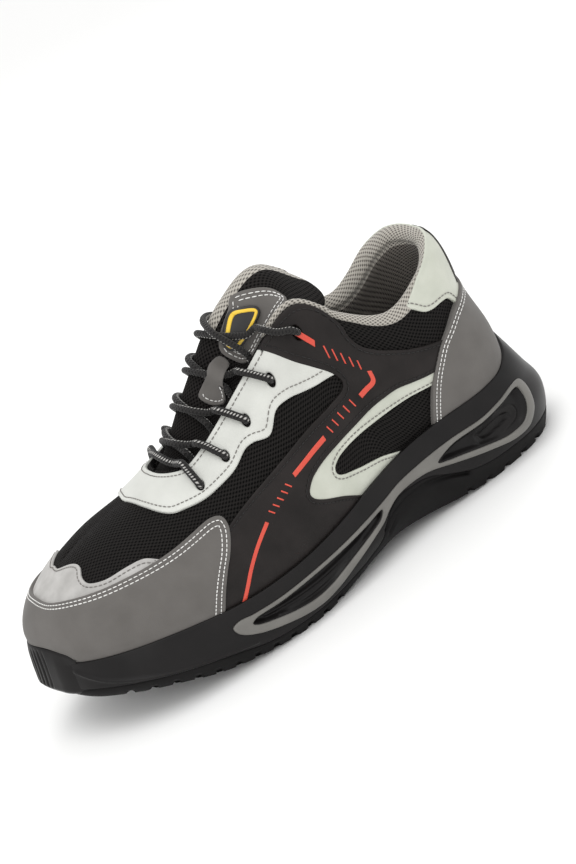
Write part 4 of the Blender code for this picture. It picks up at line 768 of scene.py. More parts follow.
# Woven and knitted cloths: a staggered lattice of openings, drawn across the cloth in millimetres.
# Columns: name, opening colour, thread colour, spacing along and across in mm, slant, depth in mm,
# roughness, sheen, specular
cloths = [
    # Polyester spacer mesh, warp knitted: rows of small open cells between dull threads.
    ("blackSpacerMesh", "#020202", "#211f1e", 2.7, 2.0, 0.0, 0.60, 0.80, 0.02, 0.06),
    # The same knit, closer and finer, on the padded tongue.
    ("tongueSpacerMesh", "#030303", "#252322", 2.3, 1.7, 0.0, 0.50, 0.80, 0.02, 0.06),
    # Light polyester rib knit over foam: soft diagonal ribs.
    ("greigeRibKnit", "#58544e", "#b3aea5", 2.6, 1.9, 0.55, 0.45, 0.92, 0.25, 0.30),
    # The same rib knit where it lines the heel: a darker copy as painted shade down inside the shoe, and
    # flatter.
    ("paintedShadeRibKnit", "#221f1d", "#716c66", 2.6, 1.9, 0.55, 0.35, 0.95, 0.10, 0.15),
    # Brushed knit sock lining, darker and flatter.
    ("insoleCloth", "#201e1c", "#45423e", 1.8, 1.8, 0.3, 0.15, 0.95, 0.15, 0.30),
]


def makeCloth(name, opening, thread, along, across, slant, depth, rough, sheen, specular):
    made, tree, shader = newMaterial(name, thread, {"Roughness": rough, "Specular IOR Level": specular,
                                                    "Sheen Weight": sheen, "Sheen Roughness": 0.5})
    place = addNode(tree, "ShaderNodeTexCoord")
    drawn = addNode(tree, "ShaderNodeSeparateXYZ", links={0: place.outputs["UV"]})
    lean = addNode(tree, "ShaderNodeMath", {"operation": "MULTIPLY_ADD"},
                   {0: drawn.outputs["Y"], 1: slant, 2: drawn.outputs["X"]})
    first = addNode(tree, "ShaderNodeMath", {"operation": "MULTIPLY"},
                    {0: lean.outputs[0], 1: 2 * math.pi / along})
    second = addNode(tree, "ShaderNodeMath", {"operation": "MULTIPLY"},
                     {0: drawn.outputs["Y"], 1: 2 * math.pi / across})
    first = addNode(tree, "ShaderNodeMath", {"operation": "COSINE"}, {0: first.outputs[0]})
    second = addNode(tree, "ShaderNodeMath", {"operation": "COSINE"}, {0: second.outputs[0]})
    field = addNode(tree, "ShaderNodeMath", {"operation": "MULTIPLY"},
                    {0: first.outputs[0], 1: second.outputs[0]})
    threadField = addNode(tree, "ShaderNodeMapRange",
                          links={"Value": field.outputs[0], "From Min": 0.75, "From Max": -0.35})
    fuzz = addNode(tree, "ShaderNodeTexNoise",
                   links={"Vector": place.outputs["Object"], "Scale": 900.0, "Detail": 2.0})
    mixed = addNode(tree, "ShaderNodeMath", {"operation": "MULTIPLY_ADD"},
                    {0: fuzz.outputs["Fac"], 1: 0.35, 2: threadField.outputs["Result"]})
    ramp = rampNode(tree, mixed.outputs[0], [(0.22, opening), (0.95, thread)])
    tree.links.new(ramp.outputs["Color"], shader.inputs["Base Color"])
    bump = addNode(tree, "ShaderNodeBump",
                   links={"Height": mixed.outputs[0], "Strength": 0.8, "Distance": depth * mm})
    tree.links.new(bump.outputs["Normal"], shader.inputs["Normal"])
    return made


# Sheet goods and mouldings: two close colours in soft patches, and a fine relief.
# Columns: name, colour, second colour, patch mm, grain mm, grain depth mm, relief, shader settings
sheets = [
    # Microfibre suede, brushed: matt grey with a short nap and cloudy shading.
    ("greyMicrosuede", "#5f5c59", "#686562", 16.0, 0.45, 0.10, "noise",
     {"Roughness": 0.92, "Specular IOR Level": 0.3, "Sheen Weight": 0.15, "Sheen Roughness": 0.45}),
    # Polyurethane-coated leather, calendered smooth: clean white with a soft wide highlight.
    ("whiteCoatedLeather", "#c3c4be", "#cecfc9", 14.0, 0.9, 0.035, "cells",
     {"Roughness": 0.40, "IOR": 1.48, "Coat Weight": 0.10, "Coat Roughness": 0.35}),
    # The same coating in a warmer off-white.
    ("creamCoatedLeather", "#b8bbae", "#c5c7bb", 14.0, 0.9, 0.035, "cells",
     {"Roughness": 0.42, "IOR": 1.48, "Coat Weight": 0.10, "Coat Roughness": 0.35}),
    # Pale split leather with a printed grain: light grey, a little uneven.
    ("paleSplitLeather", "#a3a19e", "#b8b6b3", 7.0, 0.7, 0.06, "cells", {"Roughness": 0.6}),
    # Polyurethane synthetic leather, embossed: brown-black with a fine grain and a dull sheen.
    ("blackSyntheticLeather", "#1c1918", "#272322", 16.0, 0.8, 0.05, "cells",
     {"Roughness": 0.42, "Specular IOR Level": 0.16}),
    # Injected polyurethane foam with a moulded skin: black, soft sheen, very fine stipple.
    ("blackMouldedFoam", "#141313", "#1c1a1a", 22.0, 0.55, 0.04, "noise",
     {"Roughness": 0.36, "Specular IOR Level": 0.18}),
    # Vulcanised nitrile rubber: black, duller than the foam.
    ("blackNitrileRubber", "#111010", "#191818", 18.0, 0.6, 0.05, "noise",
     {"Roughness": 0.6, "Specular IOR Level": 0.12}),
    # Injection-moulded thermoplastic polyurethane: mid grey with a satin skin.
    ("greyThermoplastic", "#62605c", "#706e69", 20.0, 0.6, 0.03, "noise",
     {"Roughness": 0.36, "IOR": 1.5, "Coat Weight": 0.12, "Coat Roughness": 0.3}),
    # Screen-printed polyurethane film: flat orange-red, slightly glossy.
    ("orangeRedFilm", "#cc4534", "#d44d3a", 12.0, 0.5, 0.015, "noise", {"Roughness": 0.38}),
    # Moulded soft rubber of the tongue label.
    ("blackLabelRubber", "#161515", "#201f1f", 6.0, 0.4, 0.03, "noise", {"Roughness": 0.42}),
    ("yellowLabelRubber", "#e3b92c", "#eec83c", 6.0, 0.4, 0.02, "noise", {"Roughness": 0.40}),
    # Spun polyester thread, drawn thicker than life so that it shows.
    ("whiteThread", "#d6d5d2", "#f1f0ee", 3.0, 0.3, 0.05, "noise", {"Roughness": 0.75}),
    ("greyThread", "#6d6966", "#84807c", 3.0, 0.3, 0.05, "noise", {"Roughness": 0.8}),
    ("blackThread", "#141313", "#232221", 3.0, 0.3, 0.05, "noise", {"Roughness": 0.8}),
]


def makeSheet(name, first, second, patch, grain, depth, relief, settings):
    made, tree, shader = newMaterial(name, first, settings)
    place = addNode(tree, "ShaderNodeTexCoord")
    cloudy = addNode(tree, "ShaderNodeTexNoise",
                     links={"Vector": place.outputs["Object"], "Scale": 1000.0 / patch, "Detail": 4.0})
    ramp = rampNode(tree, cloudy.outputs["Fac"], [(0.30, first), (0.70, second)])
    tree.links.new(ramp.outputs["Color"], shader.inputs["Base Color"])
    if relief == "cells":
        fine = addNode(tree, "ShaderNodeTexVoronoi", {"feature": "DISTANCE_TO_EDGE"},
                       {"Vector": place.outputs["Object"], "Scale": 1000.0 / grain})
        height = addNode(tree, "ShaderNodeMapRange",
                         links={"Value": fine.outputs["Distance"], "From Max": 0.25}).outputs["Result"]
    else:
        fine = addNode(tree, "ShaderNodeTexNoise",
                       links={"Vector": place.outputs["Object"], "Scale": 1000.0 / grain, "Detail": 3.0})
        height = fine.outputs["Fac"]
    bump = addNode(tree, "ShaderNodeBump", links={"Height": height, "Strength": 0.7, "Distance": depth * mm})
    tree.links.new(bump.outputs["Normal"], shader.inputs["Normal"])
    return made


# Round braided polyester lace: black strands cross at a slant, with a line of white flecks down each edge.
# Pitch, radius and depth are millimetres in the drawing.
braid = {"base": "#111010", "strand": "#242221", "fleck": "#bdbbb7", "pitch": 1.5, "radius": 2.0,
         "depth": 0.35}


def makeBraid():
    made, tree, shader = newMaterial("braidedLace", braid["base"],
                                     {"Roughness": 0.72, "Specular IOR Level": 0.3, "Sheen Weight": 0.1})
    place = addNode(tree, "ShaderNodeTexCoord")
    drawn = addNode(tree, "ShaderNodeSeparateXYZ", links={0: place.outputs["UV"]})
    along = addNode(tree, "ShaderNodeMath", {"operation": "MULTIPLY"},
                    {0: drawn.outputs["X"], 1: 2 * math.pi / braid["pitch"]})
    waves = []
    for turn in (3.0, -3.0):
        lean = addNode(tree, "ShaderNodeMath", {"operation": "MULTIPLY_ADD"},
                       {0: drawn.outputs["Y"], 1: turn / braid["radius"], 2: along.outputs[0]})
        waves.append(addNode(tree, "ShaderNodeMath", {"operation": "SINE"}, {0: lean.outputs[0]}))
    strands = addNode(tree, "ShaderNodeMath", {"operation": "MAXIMUM"},
                      {0: waves[0].outputs[0], 1: waves[1].outputs[0]})
    ramp = rampNode(tree, strands.outputs[0], [(0.0, braid["base"]), (0.9, braid["strand"])])
    edge = addNode(tree, "ShaderNodeMath", {"operation": "MULTIPLY"},
                   {0: drawn.outputs["Y"], 1: 1.0 / braid["radius"]})
    edge = addNode(tree, "ShaderNodeMath", {"operation": "SINE"}, {0: edge.outputs[0]})
    edge = addNode(tree, "ShaderNodeMath", {"operation": "POWER"}, {0: edge.outputs[0], 1: 2.0})
    edge = addNode(tree, "ShaderNodeMapRange",
                   links={"Value": edge.outputs[0], "From Min": 0.86, "From Max": 0.96})
    beat = addNode(tree, "ShaderNodeMapRange",
                   links={"Value": waves[0].outputs[0], "From Min": 0.0, "From Max": 0.35})
    share = addNode(tree, "ShaderNodeMath", {"operation": "MULTIPLY"},
                    {0: edge.outputs["Result"], 1: beat.outputs["Result"]})
    mix = addNode(tree, "ShaderNodeMix", {"data_type": "RGBA"}, {0: share.outputs[0]})
    tree.links.new(ramp.outputs["Color"], mix.inputs[6])
    mix.inputs[7].default_value = linear(braid["fleck"])
    tree.links.new(mix.outputs[2], shader.inputs["Base Color"])
    bump = addNode(tree, "ShaderNodeBump",
                   links={"Height": strands.outputs[0], "Strength": 0.8, "Distance": braid["depth"] * mm})
    tree.links.new(bump.outputs["Normal"], shader.inputs["Normal"])
    return made


finish = {row[0]: makeCloth(*row) for row in cloths}
finish.update({row[0]: makeSheet(*row) for row in sheets})
finish["braidedLace"] = makeBraid()
print("materials ready:", len(finish))


# Outlines of the sewn pieces: u, v, and a 1 at a corner. onRim means just behind the sole's rim.
toeCap = [
    (1, 0.632), (0.97, 0.62), (0.94, 0.592), (0.91, 0.564), (0.875, 0.545), (0.826, 0.53), (0.78, 0.526),
    (0.72, 0.53), (0.67, 0.541), (0.628, 0.54), (0.609, 0.512), (0.609, 0.455), (0.626, 0.365),
    (0.645, 0.28), (0.664, 0.17), (0.682, onRim, 1), (0.74, onRim), (0.8, onRim), (0.85, onRim),
    (0.884, onRim, 1), (0.893, 0.135), (0.91, 0.165), (0.94, 0.195), (0.97, 0.212), (1, 0.216),
]
toeTrim = [
    (1, 0.905), (0.97, 0.882), (0.93, 0.832), (0.868, 0.765), (0.848, 0.73), (0.84, 0.695), (0.838, 0.64),
    (0.826, 0.592), (0.8, 0.572), (0.765, 0.578), (0.738, 0.572), (0.718, 0.532, 1), (0.735, 0.5),
    (0.8, 0.5), (0.875, 0.512), (0.92, 0.532), (0.96, 0.57), (1, 0.59),
]
eyestay = [
    (0.722, 1), (0.716, 0.93), (0.702, 0.8), (0.687, 0.715), (0.668, 0.658), (0.645, 0.632), (0.61, 0.604),
    (0.572, 0.594), (0.548, 0.594), (0.52, 0.608), (0.504, 0.6), (0.478, 0.574), (0.45, 0.601),
    (0.424, 0.592), (0.398, 0.572), (0.368, 0.552), (0.33, 0.54, 1), (0.352, 0.6), (0.378, 0.66),
    (0.398, 0.742, 1), (0.45, 0.742), (0.5, 0.742), (0.54, 0.742), (0.585, 0.741), (0.609, 0.752),
    (0.628, 0.8), (0.64, 0.86), (0.646, 0.93), (0.648, 1),
]
sidePanel = [
    (0.697, onRim, 1), (0.678, 0.17), (0.658, 0.28), (0.636, 0.385), (0.618, 0.45, 1), (0.59, 0.47),
    (0.55, 0.487), (0.5, 0.494), (0.43, 0.498), (0.375, 0.49), (0.345, 0.494), (0.336, 0.515),
    (0.342, 0.545), (0.366, 0.592), (0.386, 0.635), (0.405, 0.69), (0.42, 0.742, 1), (0.385, 0.742),
    (0.35, 0.742), (0.318, 0.742), (0.302, 0.725), (0.293, 0.69), (0.292, 0.655), (0.282, 0.625),
    (0.262, 0.607), (0.235, 0.592), (0.207, 0.557), (0.164, 0.48, 1), (0.196, 0.36, 1), (0.235, 0.395),
    (0.262, 0.409), (0.295, 0.4), (0.343, 0.38), (0.39, 0.378), (0.43, 0.376), (0.46, 0.36), (0.477, 0.325),
    (0.476, 0.29), (0.462, 0.25), (0.425, 0.17), (0.388, onRim, 1), (0.45, onRim), (0.53, onRim),
    (0.61, onRim),
]
windowTrim = [
    (0.181, 0.395, 1), (0.235, 0.425), (0.262, 0.437), (0.295, 0.428), (0.343, 0.407), (0.39, 0.404),
    (0.435, 0.402), (0.47, 0.382), (0.49, 0.33), (0.488, 0.28), (0.472, 0.235), (0.436, 0.155),
    (0.405, onRim, 1), (0.35, onRim), (0.29, onRim, 1), (0.335, 0.172), (0.38, 0.225), (0.41, 0.262),
    (0.421, 0.29), (0.419, 0.318), (0.402, 0.337), (0.37, 0.341), (0.325, 0.336), (0.28, 0.336),
    (0.245, 0.328), (0.2, 0.29, 1),
]
heelCounter = [
    (0, 0.55), (0.05, 0.552), (0.09, 0.558), (0.126, 0.545), (0.152, 0.508), (0.177, 0.462), (0.2, 0.37),
    (0.215, 0.285), (0.23, 0.165), (0.241, onRim, 1), (0.19, onRim), (0.14, onRim), (0.1, onRim),
    (0.07, onRim), (0.04, onRim), (0, onRim),
]
heelTab = [
    (0, 0.764), (0.05, 0.764), (0.1, 0.763), (0.142, 0.757), (0.188, 0.742, 1), (0.179, 0.704),
    (0.168, 0.656), (0.154, 0.63), (0.134, 0.614), (0.12, 0.594), (0.104, 0.52, 1), (0.05, 0.512),
    (0, 0.512),
]
backStrip = [
    (0, 0.762), (0.028, 0.761), (0.042, 0.74), (0.062, 0.68), (0.071, 0.616), (0.072, 0.57, 1), (0, 0.566),
]
tonguePatch = [
    (0.384, 0.955), (0.364, 0.908), (0.344, 0.848), (0.336, 0.8), (0.346, 0.768), (0.375, 0.758),
    (0.405, 0.757), (0.434, 0.758), (0.449, 0.79), (0.455, 0.85), (0.454, 0.9), (0.44, 0.922),
    (0.402, 0.937),
]
tongueBadge = [
    (0.404, 0.928), (0.39, 0.902), (0.381, 0.868), (0.384, 0.842), (0.401, 0.834), (0.421, 0.836),
    (0.44, 0.85), (0.447, 0.878), (0.444, 0.905), (0.424, 0.922),
]
laceKeeper = [
    (0.459, 0.9), (0.461, 0.858), (0.474, 0.862), (0.488, 0.85), (0.495, 0.796), (0.504, 0.782),
    (0.514, 0.82), (0.52, 0.868), (0.519, 0.912), (0.506, 0.917), (0.49, 0.912), (0.474, 0.916),
]
eyelets = [
    (0.605, 0.65), (0.549, 0.646), (0.494, 0.656), (0.43, 0.658), (0.359, 0.674),
]
collarDown = [
    (0.735, 0.083), (0.69, 0.092), (0.62, 0.08), (0.54, 0.06), (0.47, 0.042),
]
collarSwell = [
    (0, 0.8), (0.08, 0.95), (0.16, 1), (0.22, 0.9), (0.28, 0.6), (0.335, 0.3),
]
sideFrame = [
    (-66.5, 22.8), (-65.5, 19.2), (-61, 16), (-54, 13.2), (-44, 10.6), (-32, 8.4), (-21.5, 7.8), (-10, 9.6),
    (3, 13.4), (16, 17.2), (24, 19.8), (30, 23), (37, 25.6), (46, 26.6), (57, 26), (69, 22.6), (80.5, 19.2),
    (92, 16.2), (106, 13), (117, 13.2), (123, 18), (126, 24), (128, 30), (126.5, 34.2), (118, 34.8),
    (107, 33.6), (94, 32.4), (76, 33), (63, 32.6), (52, 31.8), (41, 30.6), (29, 28), (16, 26), (-1, 24),
    (-18, 22.9), (-39, 22.2), (-55, 23), (-62, 24),
]
frontWindow = [
    (-57.5, 19.6), (-54, 20.9), (-40, 20.4), (-19.5, 21.1), (-2, 22.1), (16, 24), (26, 25.4), (23.5, 22),
    (16.5, 19.8), (7, 17.6), (-5, 14.8), (-15, 12.6), (-25.5, 11.9), (-37, 13.2), (-48, 15.6), (-55, 17.6),
]
heelWindow = [
    (63.5, 27.4), (75, 30.6), (93, 30.5), (106.5, 31.8), (118, 33), (123, 31.8), (122.2, 26.5),
    (118.8, 20.5), (114, 17), (103, 16.8), (89, 20), (78, 22.8), (68, 25.2),
]
outerStrand = [
    (1.06, 1.185), (1.1, 1.12), (1.12, 1.06), (1.12, 1), (1.07, 0.95), (0.95, 0.9), (0.78, 0.85),
    (0.56, 0.795),
]
innerStrand = [
    (1.02, 1.185), (1.03, 1.12), (1.02, 1.07), (0.96, 1.03), (0.88, 0.99), (0.76, 0.94), (0.62, 0.875),
    (0.47, 0.815),
]
barBow = [
    (0.82, 0.008), (0.88, 0.012), (0.94, 0.012), (1, 0.011), (1.06, 0.012), (1.12, 0.012), (1.18, 0.008),
]


# Upper: a knitted shell with a lining, open at the collar, the throat and underneath.
shell = {
    "columns": 480,
    "rows": 60,
    "throatSides": 0.585,
    "throatFront": 0.642,
    "closed": 0.9999,  # ribs that reach this high meet on the ridge
    "puff": 0.22 * mm,
}


def topEdge(t):
    # Where the shell ends on a rib: at the collar and lacing edge, and on the ridge in front of the throat.
    s = np.clip((t - shell["throatSides"]) / (shell["throatFront"] - shell["throatSides"]), 0.0, 1.0)
    return np.where(t <= shell["throatSides"], shoe["topLine"],
                    1.0 - (1.0 - shoe["topLine"]) * np.sqrt(np.maximum(1.0 - s * s, 0.0)))


def puffs(place):
    # Slow, low swells that keep cloth from looking machined.
    x, y, z = place[..., 0] / mm, place[..., 1] / mm, place[..., 2] / mm
    return np.sin(x / 9.0 + y / 14.0) * np.sin(z / 8.0 + y / 11.0) + 0.5 * np.sin(x / 4.6 - z / 5.2 + y / 7.0)


def makeShell():
    columns, rows = shell["columns"], shell["rows"]
    u = np.arange(columns) * 2.0 / columns
    t = np.where(u <= 1, u, 2 - u)
    edge = topEdge(t)
    share = np.linspace(0, 1, rows + 1)[:, None]
    places = []
    uGrid, vGrid = np.broadcast_arrays(u[None], share * edge[None])
    base = upperPoint(uGrid, vGrid)
    normal = upperNormal(uGrid, vGrid)
    twin = (-np.arange(columns)) % columns
    for lift in (shell["puff"] * puffs(base), -shoe["wall"] * np.ones(uGrid.shape)):
        place = base + lift[..., None] * normal
        joined = edge > shell["closed"]
        place[-1, joined] = (place[-1, joined] + place[-1, twin[joined]]) / 2
        places.append(place)
    fineV = np.linspace(0, 1, 121)
    rib = upperPoint(*np.broadcast_arrays(u[None], fineV[:, None]))
    steps = np.hypot(np.diff(rib[..., 1], axis=0), np.diff(rib[..., 2], axis=0))
    run = np.concatenate([np.cumsum(steps[::-1], axis=0)[::-1], np.zeros((1, columns))])
    across = np.stack([np.interp(vGrid[:, c], fineV, run[:, c]) for c in range(columns)], 1)
    drawn = np.stack([base[..., 0], across * np.where(u <= 1, -1, 1)], -1) / mm
    outer, inner = places
    made = addPiece("spacerMeshShell", outer, gridFaces(rows + 1, columns, True), finish["blackSpacerMesh"],
                    drawn)
    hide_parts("upper")
    addPiece("sockLining", inner, gridFaces(rows + 1, columns, True, flip=True), finish["greigeRibKnit"],
             drawn)
    between = (outer[-1:] * 0.5 + inner[-1:] * 0.5) + 0.5 * mm * np.array([0, 0, 1.0])
    ring = np.concatenate([outer[-1:], between, inner[-1:]])
    isOpen = edge < shell["closed"]
    keep = [f for f in gridFaces(3, columns, True) if isOpen[f[0] % columns] or isOpen[f[1] % columns]]
    addPiece("shellBinding", ring, keep, finish["blackSpacerMesh"], np.concatenate([drawn[-1:]] * 3))
    print("shell made")


makeShell()


# Pieces sewn on the shell. The layers lie over each other as they are sewn.
layers = {"first": 1.0 * mm, "second": 1.7 * mm, "third": 2.5 * mm}
eyeletHole = {"radius": 2.15 * mm, "corners": 14}


def mirroredAt(rows, middle):
    # A whole outline from its half: mirrored over the heel (0) or the toe (1).
    return rows + [(2 * middle - a, *rest) for a, *rest in reversed(rows[1:-1])]


def otherSide(rows):
    return [(2.0 - a, *rest) for a, *rest in reversed(rows)]


def acrossRows(rows):
    # A whole outline from its half, mirrored over the ridge.
    return rows + [(t, 2.0 - q, *corner) for t, q, *corner in reversed(rows[1:-1])]


def onSide(side, value):
    # A place across the shoe as it lies on the outer side (-1) or mirrored on the inner side (1).
    return value if side < 0 else 2.0 - value


def roundHole(t, v, side):
    q = onSide(side, v)
    out = []
    for k in range(eyeletHole["corners"]):
        turn = 2 * math.pi * k / eyeletHole["corners"]
        out.append((t + eyeletHole["radius"] * math.cos(turn) / shoe["chartAlong"],
                    q + eyeletHole["radius"] * math.sin(turn) / shoe["chartAcross"]))
    return out


def makeOverlays():
    first, second, third = layers["first"], layers["second"], layers["third"]
    sewnPiece("toeTrim", "toe_trim", mirroredAt(toeTrim, 1.0), aroundChart, first, "paleSplitLeather",
              (2.2,), "greyThread", -0.15)
    stay = acrossRows(eyestay)
    holes = [roundHole(t, v, side) for t, v in eyelets[:-1] for side in (-1, 1)]
    sewnPiece("laceStay", "eyestay", stay, acrossChart, first + 0.3 * mm, "whiteCoatedLeather",
              swell=0.15 * mm, holes=holes)
    panel = outlinePoints(sidePanel, flatSize, mm)[0]
    panels = [panel, panel * (1, -1) + (0, 2 * shoe["chartAcross"])]
    for span in ((40, 16), (19, 37)):  # the rest lies under the side panels
        sewAlong("greyThread", outlineRun(stay, 2.4 * mm, span), acrossChart, first + 0.45 * mm, panels)
    for side, node, turned in ((-1, "outer", list), (1, "inner", otherSide)):
        sewnPiece("windowTrim." + node, "window_trim_" + node, turned(windowTrim), aroundChart, first,
                  "creamCoatedLeather", (2.0,), "greyThread", swell=0.2 * mm)
        topEyelet = [(onSide(side, a), b if b <= 1 else 2 - b) for a, b in roundHole(*eyelets[-1], side)]
        sewnPiece("sidePanel." + node, "side_panel_" + node, turned(sidePanel), aroundChart, second,
                  "blackSyntheticLeather", (2.2,), "blackThread", swell=0.15 * mm, holes=[topEyelet])
    tab = mirroredAt([(t, v + (0.014 if v > 0.75 else 0.0), *corner) for t, v, *corner in heelTab], 0.0)
    sewnPiece("heelTab", "heel_tab", tab, aroundChart, first, "creamCoatedLeather",
              (2.2,), "greyThread", 0.1, ((4, 10), (14, 20)), swell=0.4 * mm, fine=0.8)
    sewnPiece("backStrip", "back_strip", mirroredAt(backStrip, 0.0), aroundChart, second + 0.1 * mm,
              "blackSyntheticLeather", (1.6,), swell=0.2 * mm, fine=0.7)
    counter = mirroredAt(heelCounter, 0.0)
    sewnPiece("heelCounter", "heel_counter", counter, aroundChart, third, "greyMicrosuede",
              (2.0, 4.2), "whiteThread", 0.05, ((len(counter) - 9, 9),), swell=0.3 * mm)
    sewnPiece("toeCap", "toe_cap", mirroredAt(toeCap, 1.0), aroundChart, third, "greyMicrosuede",
              (2.2, 4.6), "whiteThread", 0.05, ((33, 15),), swell=0.3 * mm)
    print("sewn pieces made")


makeOverlays()


# Printed film on the outer side panel: four strips, and slanted ticks between them.
film = {
    "width": 2.1 * mm,
    "height": 0.22 * mm,
    "lift": 0.12 * mm,  # over the side panel
    "tickWidth": 0.65 * mm,
    "tickLength": 3.6 * mm,
    "tickLean": 0.35,
    "ticks": 5,
}
stripes = [
    [(0.655, 0.02), (0.637, 0.108), (0.617, 0.20), (0.596, 0.27), (0.578, 0.315), (0.558, 0.355)],
    [(0.485, 0.424), (0.46, 0.429), (0.435, 0.433), (0.41, 0.434)],
    [(0.323, 0.45), (0.307, 0.466), (0.296, 0.478), (0.291, 0.495), (0.29, 0.53)],
    [(0.362, 0.683), (0.354, 0.656), (0.345, 0.63)],
]
tickRuns = [((0.549, 0.372), (0.495, 0.416)), ((0.402, 0.438), (0.333, 0.446)),
            ((0.340, 0.608), (0.295, 0.550))]


def stripOver(chart, path, width, base, height, points, faces):
    # A flat strip with a softened edge, laid along a line of the drawing.
    way = unit(np.gradient(path, axis=0))
    aside = np.stack([-way[:, 1], way[:, 0]], -1)
    start, n = sum(len(p) for p in points), len(path)
    section = ((-0.5, -0.2 * mm), (-0.5, height * 0.6), (-0.36, height), (0.0, height * 1.1), (0.36, height),
               (0.5, height * 0.6), (0.5, -0.2 * mm))
    for share, lift in section:
        moved = path + aside * width * share
        points.append(chart(moved[:, 0], moved[:, 1], np.full(n, base + lift)))
    faces += gridFaces(len(section), n, first=start)
    ends = [start + k * n for k in range(len(section))]
    faces += [tuple(ends), tuple(k + n - 1 for k in reversed(ends))]


def makePrint():
    base = layers["second"] + film["lift"]
    points, faces = [], []
    for marks in stripes:
        path = smoothLine(np.array(marks) * flatSize, 10)
        stripOver(aroundChart, path, film["width"], base, film["height"], points, faces)
    for first, last in tickRuns:
        first, last = np.array(first) * flatSize, np.array(last) * flatSize
        along = unit(last - first)
        lean = unit(np.array((-along[1], along[0])) + along * film["tickLean"])
        for k in range(film["ticks"]):
            middle = first + (last - first) * (k + 0.5) / film["ticks"]
            path = middle + np.linspace(-0.5, 0.5, 6)[:, None] * lean * film["tickLength"]
            stripOver(aroundChart, path, film["tickWidth"], base, film["height"], points, faces)
    made = addPiece("printedFilm", np.concatenate(points), faces, finish["orangeRedFilm"])
    recalculate(made)


def recalculate(made):
    # Turns all faces of a closed piece outwards.
    form = bmesh.new()
    form.from_mesh(made.data)
    bmesh.ops.recalc_face_normals(form, faces=form.faces)
    form.to_mesh(made.data)
    form.free()


makePrint()


# Collar: a foam roll in rib knit that wraps over the top edge and runs down inside.
collar = {
    "stations": 220,
    "fineness": 4,
    "end": 0.335,
    "rise": 3.9 * mm,  # of the roll over the top line, at its fullest
    "thin": 2.0 * mm,  # depth of the roll where its swell runs out
    "shadedLining": (30, 50),  # points of a ring that wear the darker knit, painted shade down inside the shoe
    "fill": 0.8,
}
piping = {"span": (0.29, 0.405), "parts": 60, "radius": 1.5 * mm, "taper": 6}
collarSwellCurve = curve(collarSwell, 1)


def collarRing(u):
    # One closed section of the roll: up over the top line from outside, then down the inside of the shoe.
    t = min(u % 2.0, 2 - u % 2.0)
    swell = float(collarSwellCurve(t))
    wall = -shoe["wall"] + 0.2 * mm
    edge = onUpper(u, shoe["topLine"], np.array(0.0))
    up = unit(upperPoint(u, shoe["topLine"] + 0.02) - upperPoint(u, shoe["topLine"] - 0.02))
    out = upperNormal(u, shoe["topLine"])
    deep = collarDown[0][1] * shoe["upperHeight"] * swell + collar["thin"] * (1 - swell)
    rise = collar["rise"] * (0.45 + 0.55 * swell)
    bare = min(max((t - 0.13) / 0.06, 0.0), 1.0)  # at the heel the tab lies over the roll's lip
    lipV, lipLift = shoe["topLine"] - 0.035 * (0.25 + 0.75 * swell), (1.6 * bare - 1.0) * mm
    ring = [onUpper(u, lipV, np.array(0.1 * mm)), onUpper(u, lipV + 0.012, np.array(lipLift + 0.5 * mm))]
    ring.append(edge + out * (lipLift + 0.5 * mm) + up * 0.6 * mm)
    ring.append(edge + up * (0.4 * mm + rise * 0.72) + out * 0.1 * mm)
    for height, inward in ((rise, 0.30), (rise - 0.4 * mm, 0.65), (rise * 0.35, 0.97)):
        ring.append(edge + up * height - out * deep * inward)
    for v, depth in collarDown:
        ring.append(onUpper(u, v, np.array(-max(depth * shoe["upperHeight"] * swell, -wall + 0.8 * mm))))
    for v in (0.450, 0.560, 0.650, 0.715):
        ring.append(onUpper(u, v, np.array(wall)))
    return np.array(ring)


def makeCollar():
    places = np.linspace(-collar["end"], collar["end"], collar["stations"] + 1)
    rings = []
    for u in places:
        ring = collarRing(u)
        n = len(ring)
        fine = []
        for i in range(n):
            a, b, c, d = ring[i - 1], ring[i], ring[(i + 1) % n], ring[(i + 2) % n]
            for s in np.arange(collar["fineness"]) / collar["fineness"]:
                fine.append(roundSpot(a, b, c, d, s))
        rings.append(np.array(fine))
    rings = np.array(rings)
    count = rings.shape[1]
    steps = np.linalg.norm(np.diff(rings, axis=1), axis=2)
    around = np.concatenate([np.zeros((len(rings), 1)), np.cumsum(steps, axis=1)], axis=1)
    along = np.concatenate([[0.0], np.cumsum(np.linalg.norm(np.diff(rings[:, 14], axis=0), axis=1))])
    drawn = np.stack([np.broadcast_to(along[:, None], around.shape), around], -1) / mm
    faces = gridFaces(len(rings), count, True)
    faces += [tuple(range(count)), tuple((len(rings) - 1) * count + k for k in reversed(range(count)))]
    made = addPiece("collarPadding", rings, faces, [finish["greigeRibKnit"], finish["paintedShadeRibKnit"]],
                    drawn)
    # faces deep inside the collar take the darker knit: painted shade inside the shoe
    first, last = collar["shadedLining"]
    index = [int(k < len(faces) - 2 and first <= k % count < last) for k in range(len(faces))]
    made.data.polygons.foreach_set("material_index", index)
    recalculate(made)
    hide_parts("collar_padding")
    n, taper = piping["parts"], piping["taper"]
    k = np.arange(n)
    radius = piping["radius"] * np.clip((k + 1) / taper, 0.2, 1) * np.clip((n - k) / taper, 0.2, 1)
    for side, name in ((1, "outer"), (-1, "inner")):
        u = np.linspace(*piping["span"], n) * side
        path = upperPoint(u, np.full(n, shoe["topLine"] + 0.004))
        path = path + upperNormal(u, np.full(n, shoe["topLine"])) * 0.2 * mm
        tubeAlong("facingPiping." + name, path, radius, finish["greigeRibKnit"], "collar_padding", sides=12)
    print("collar made")


makeCollar()


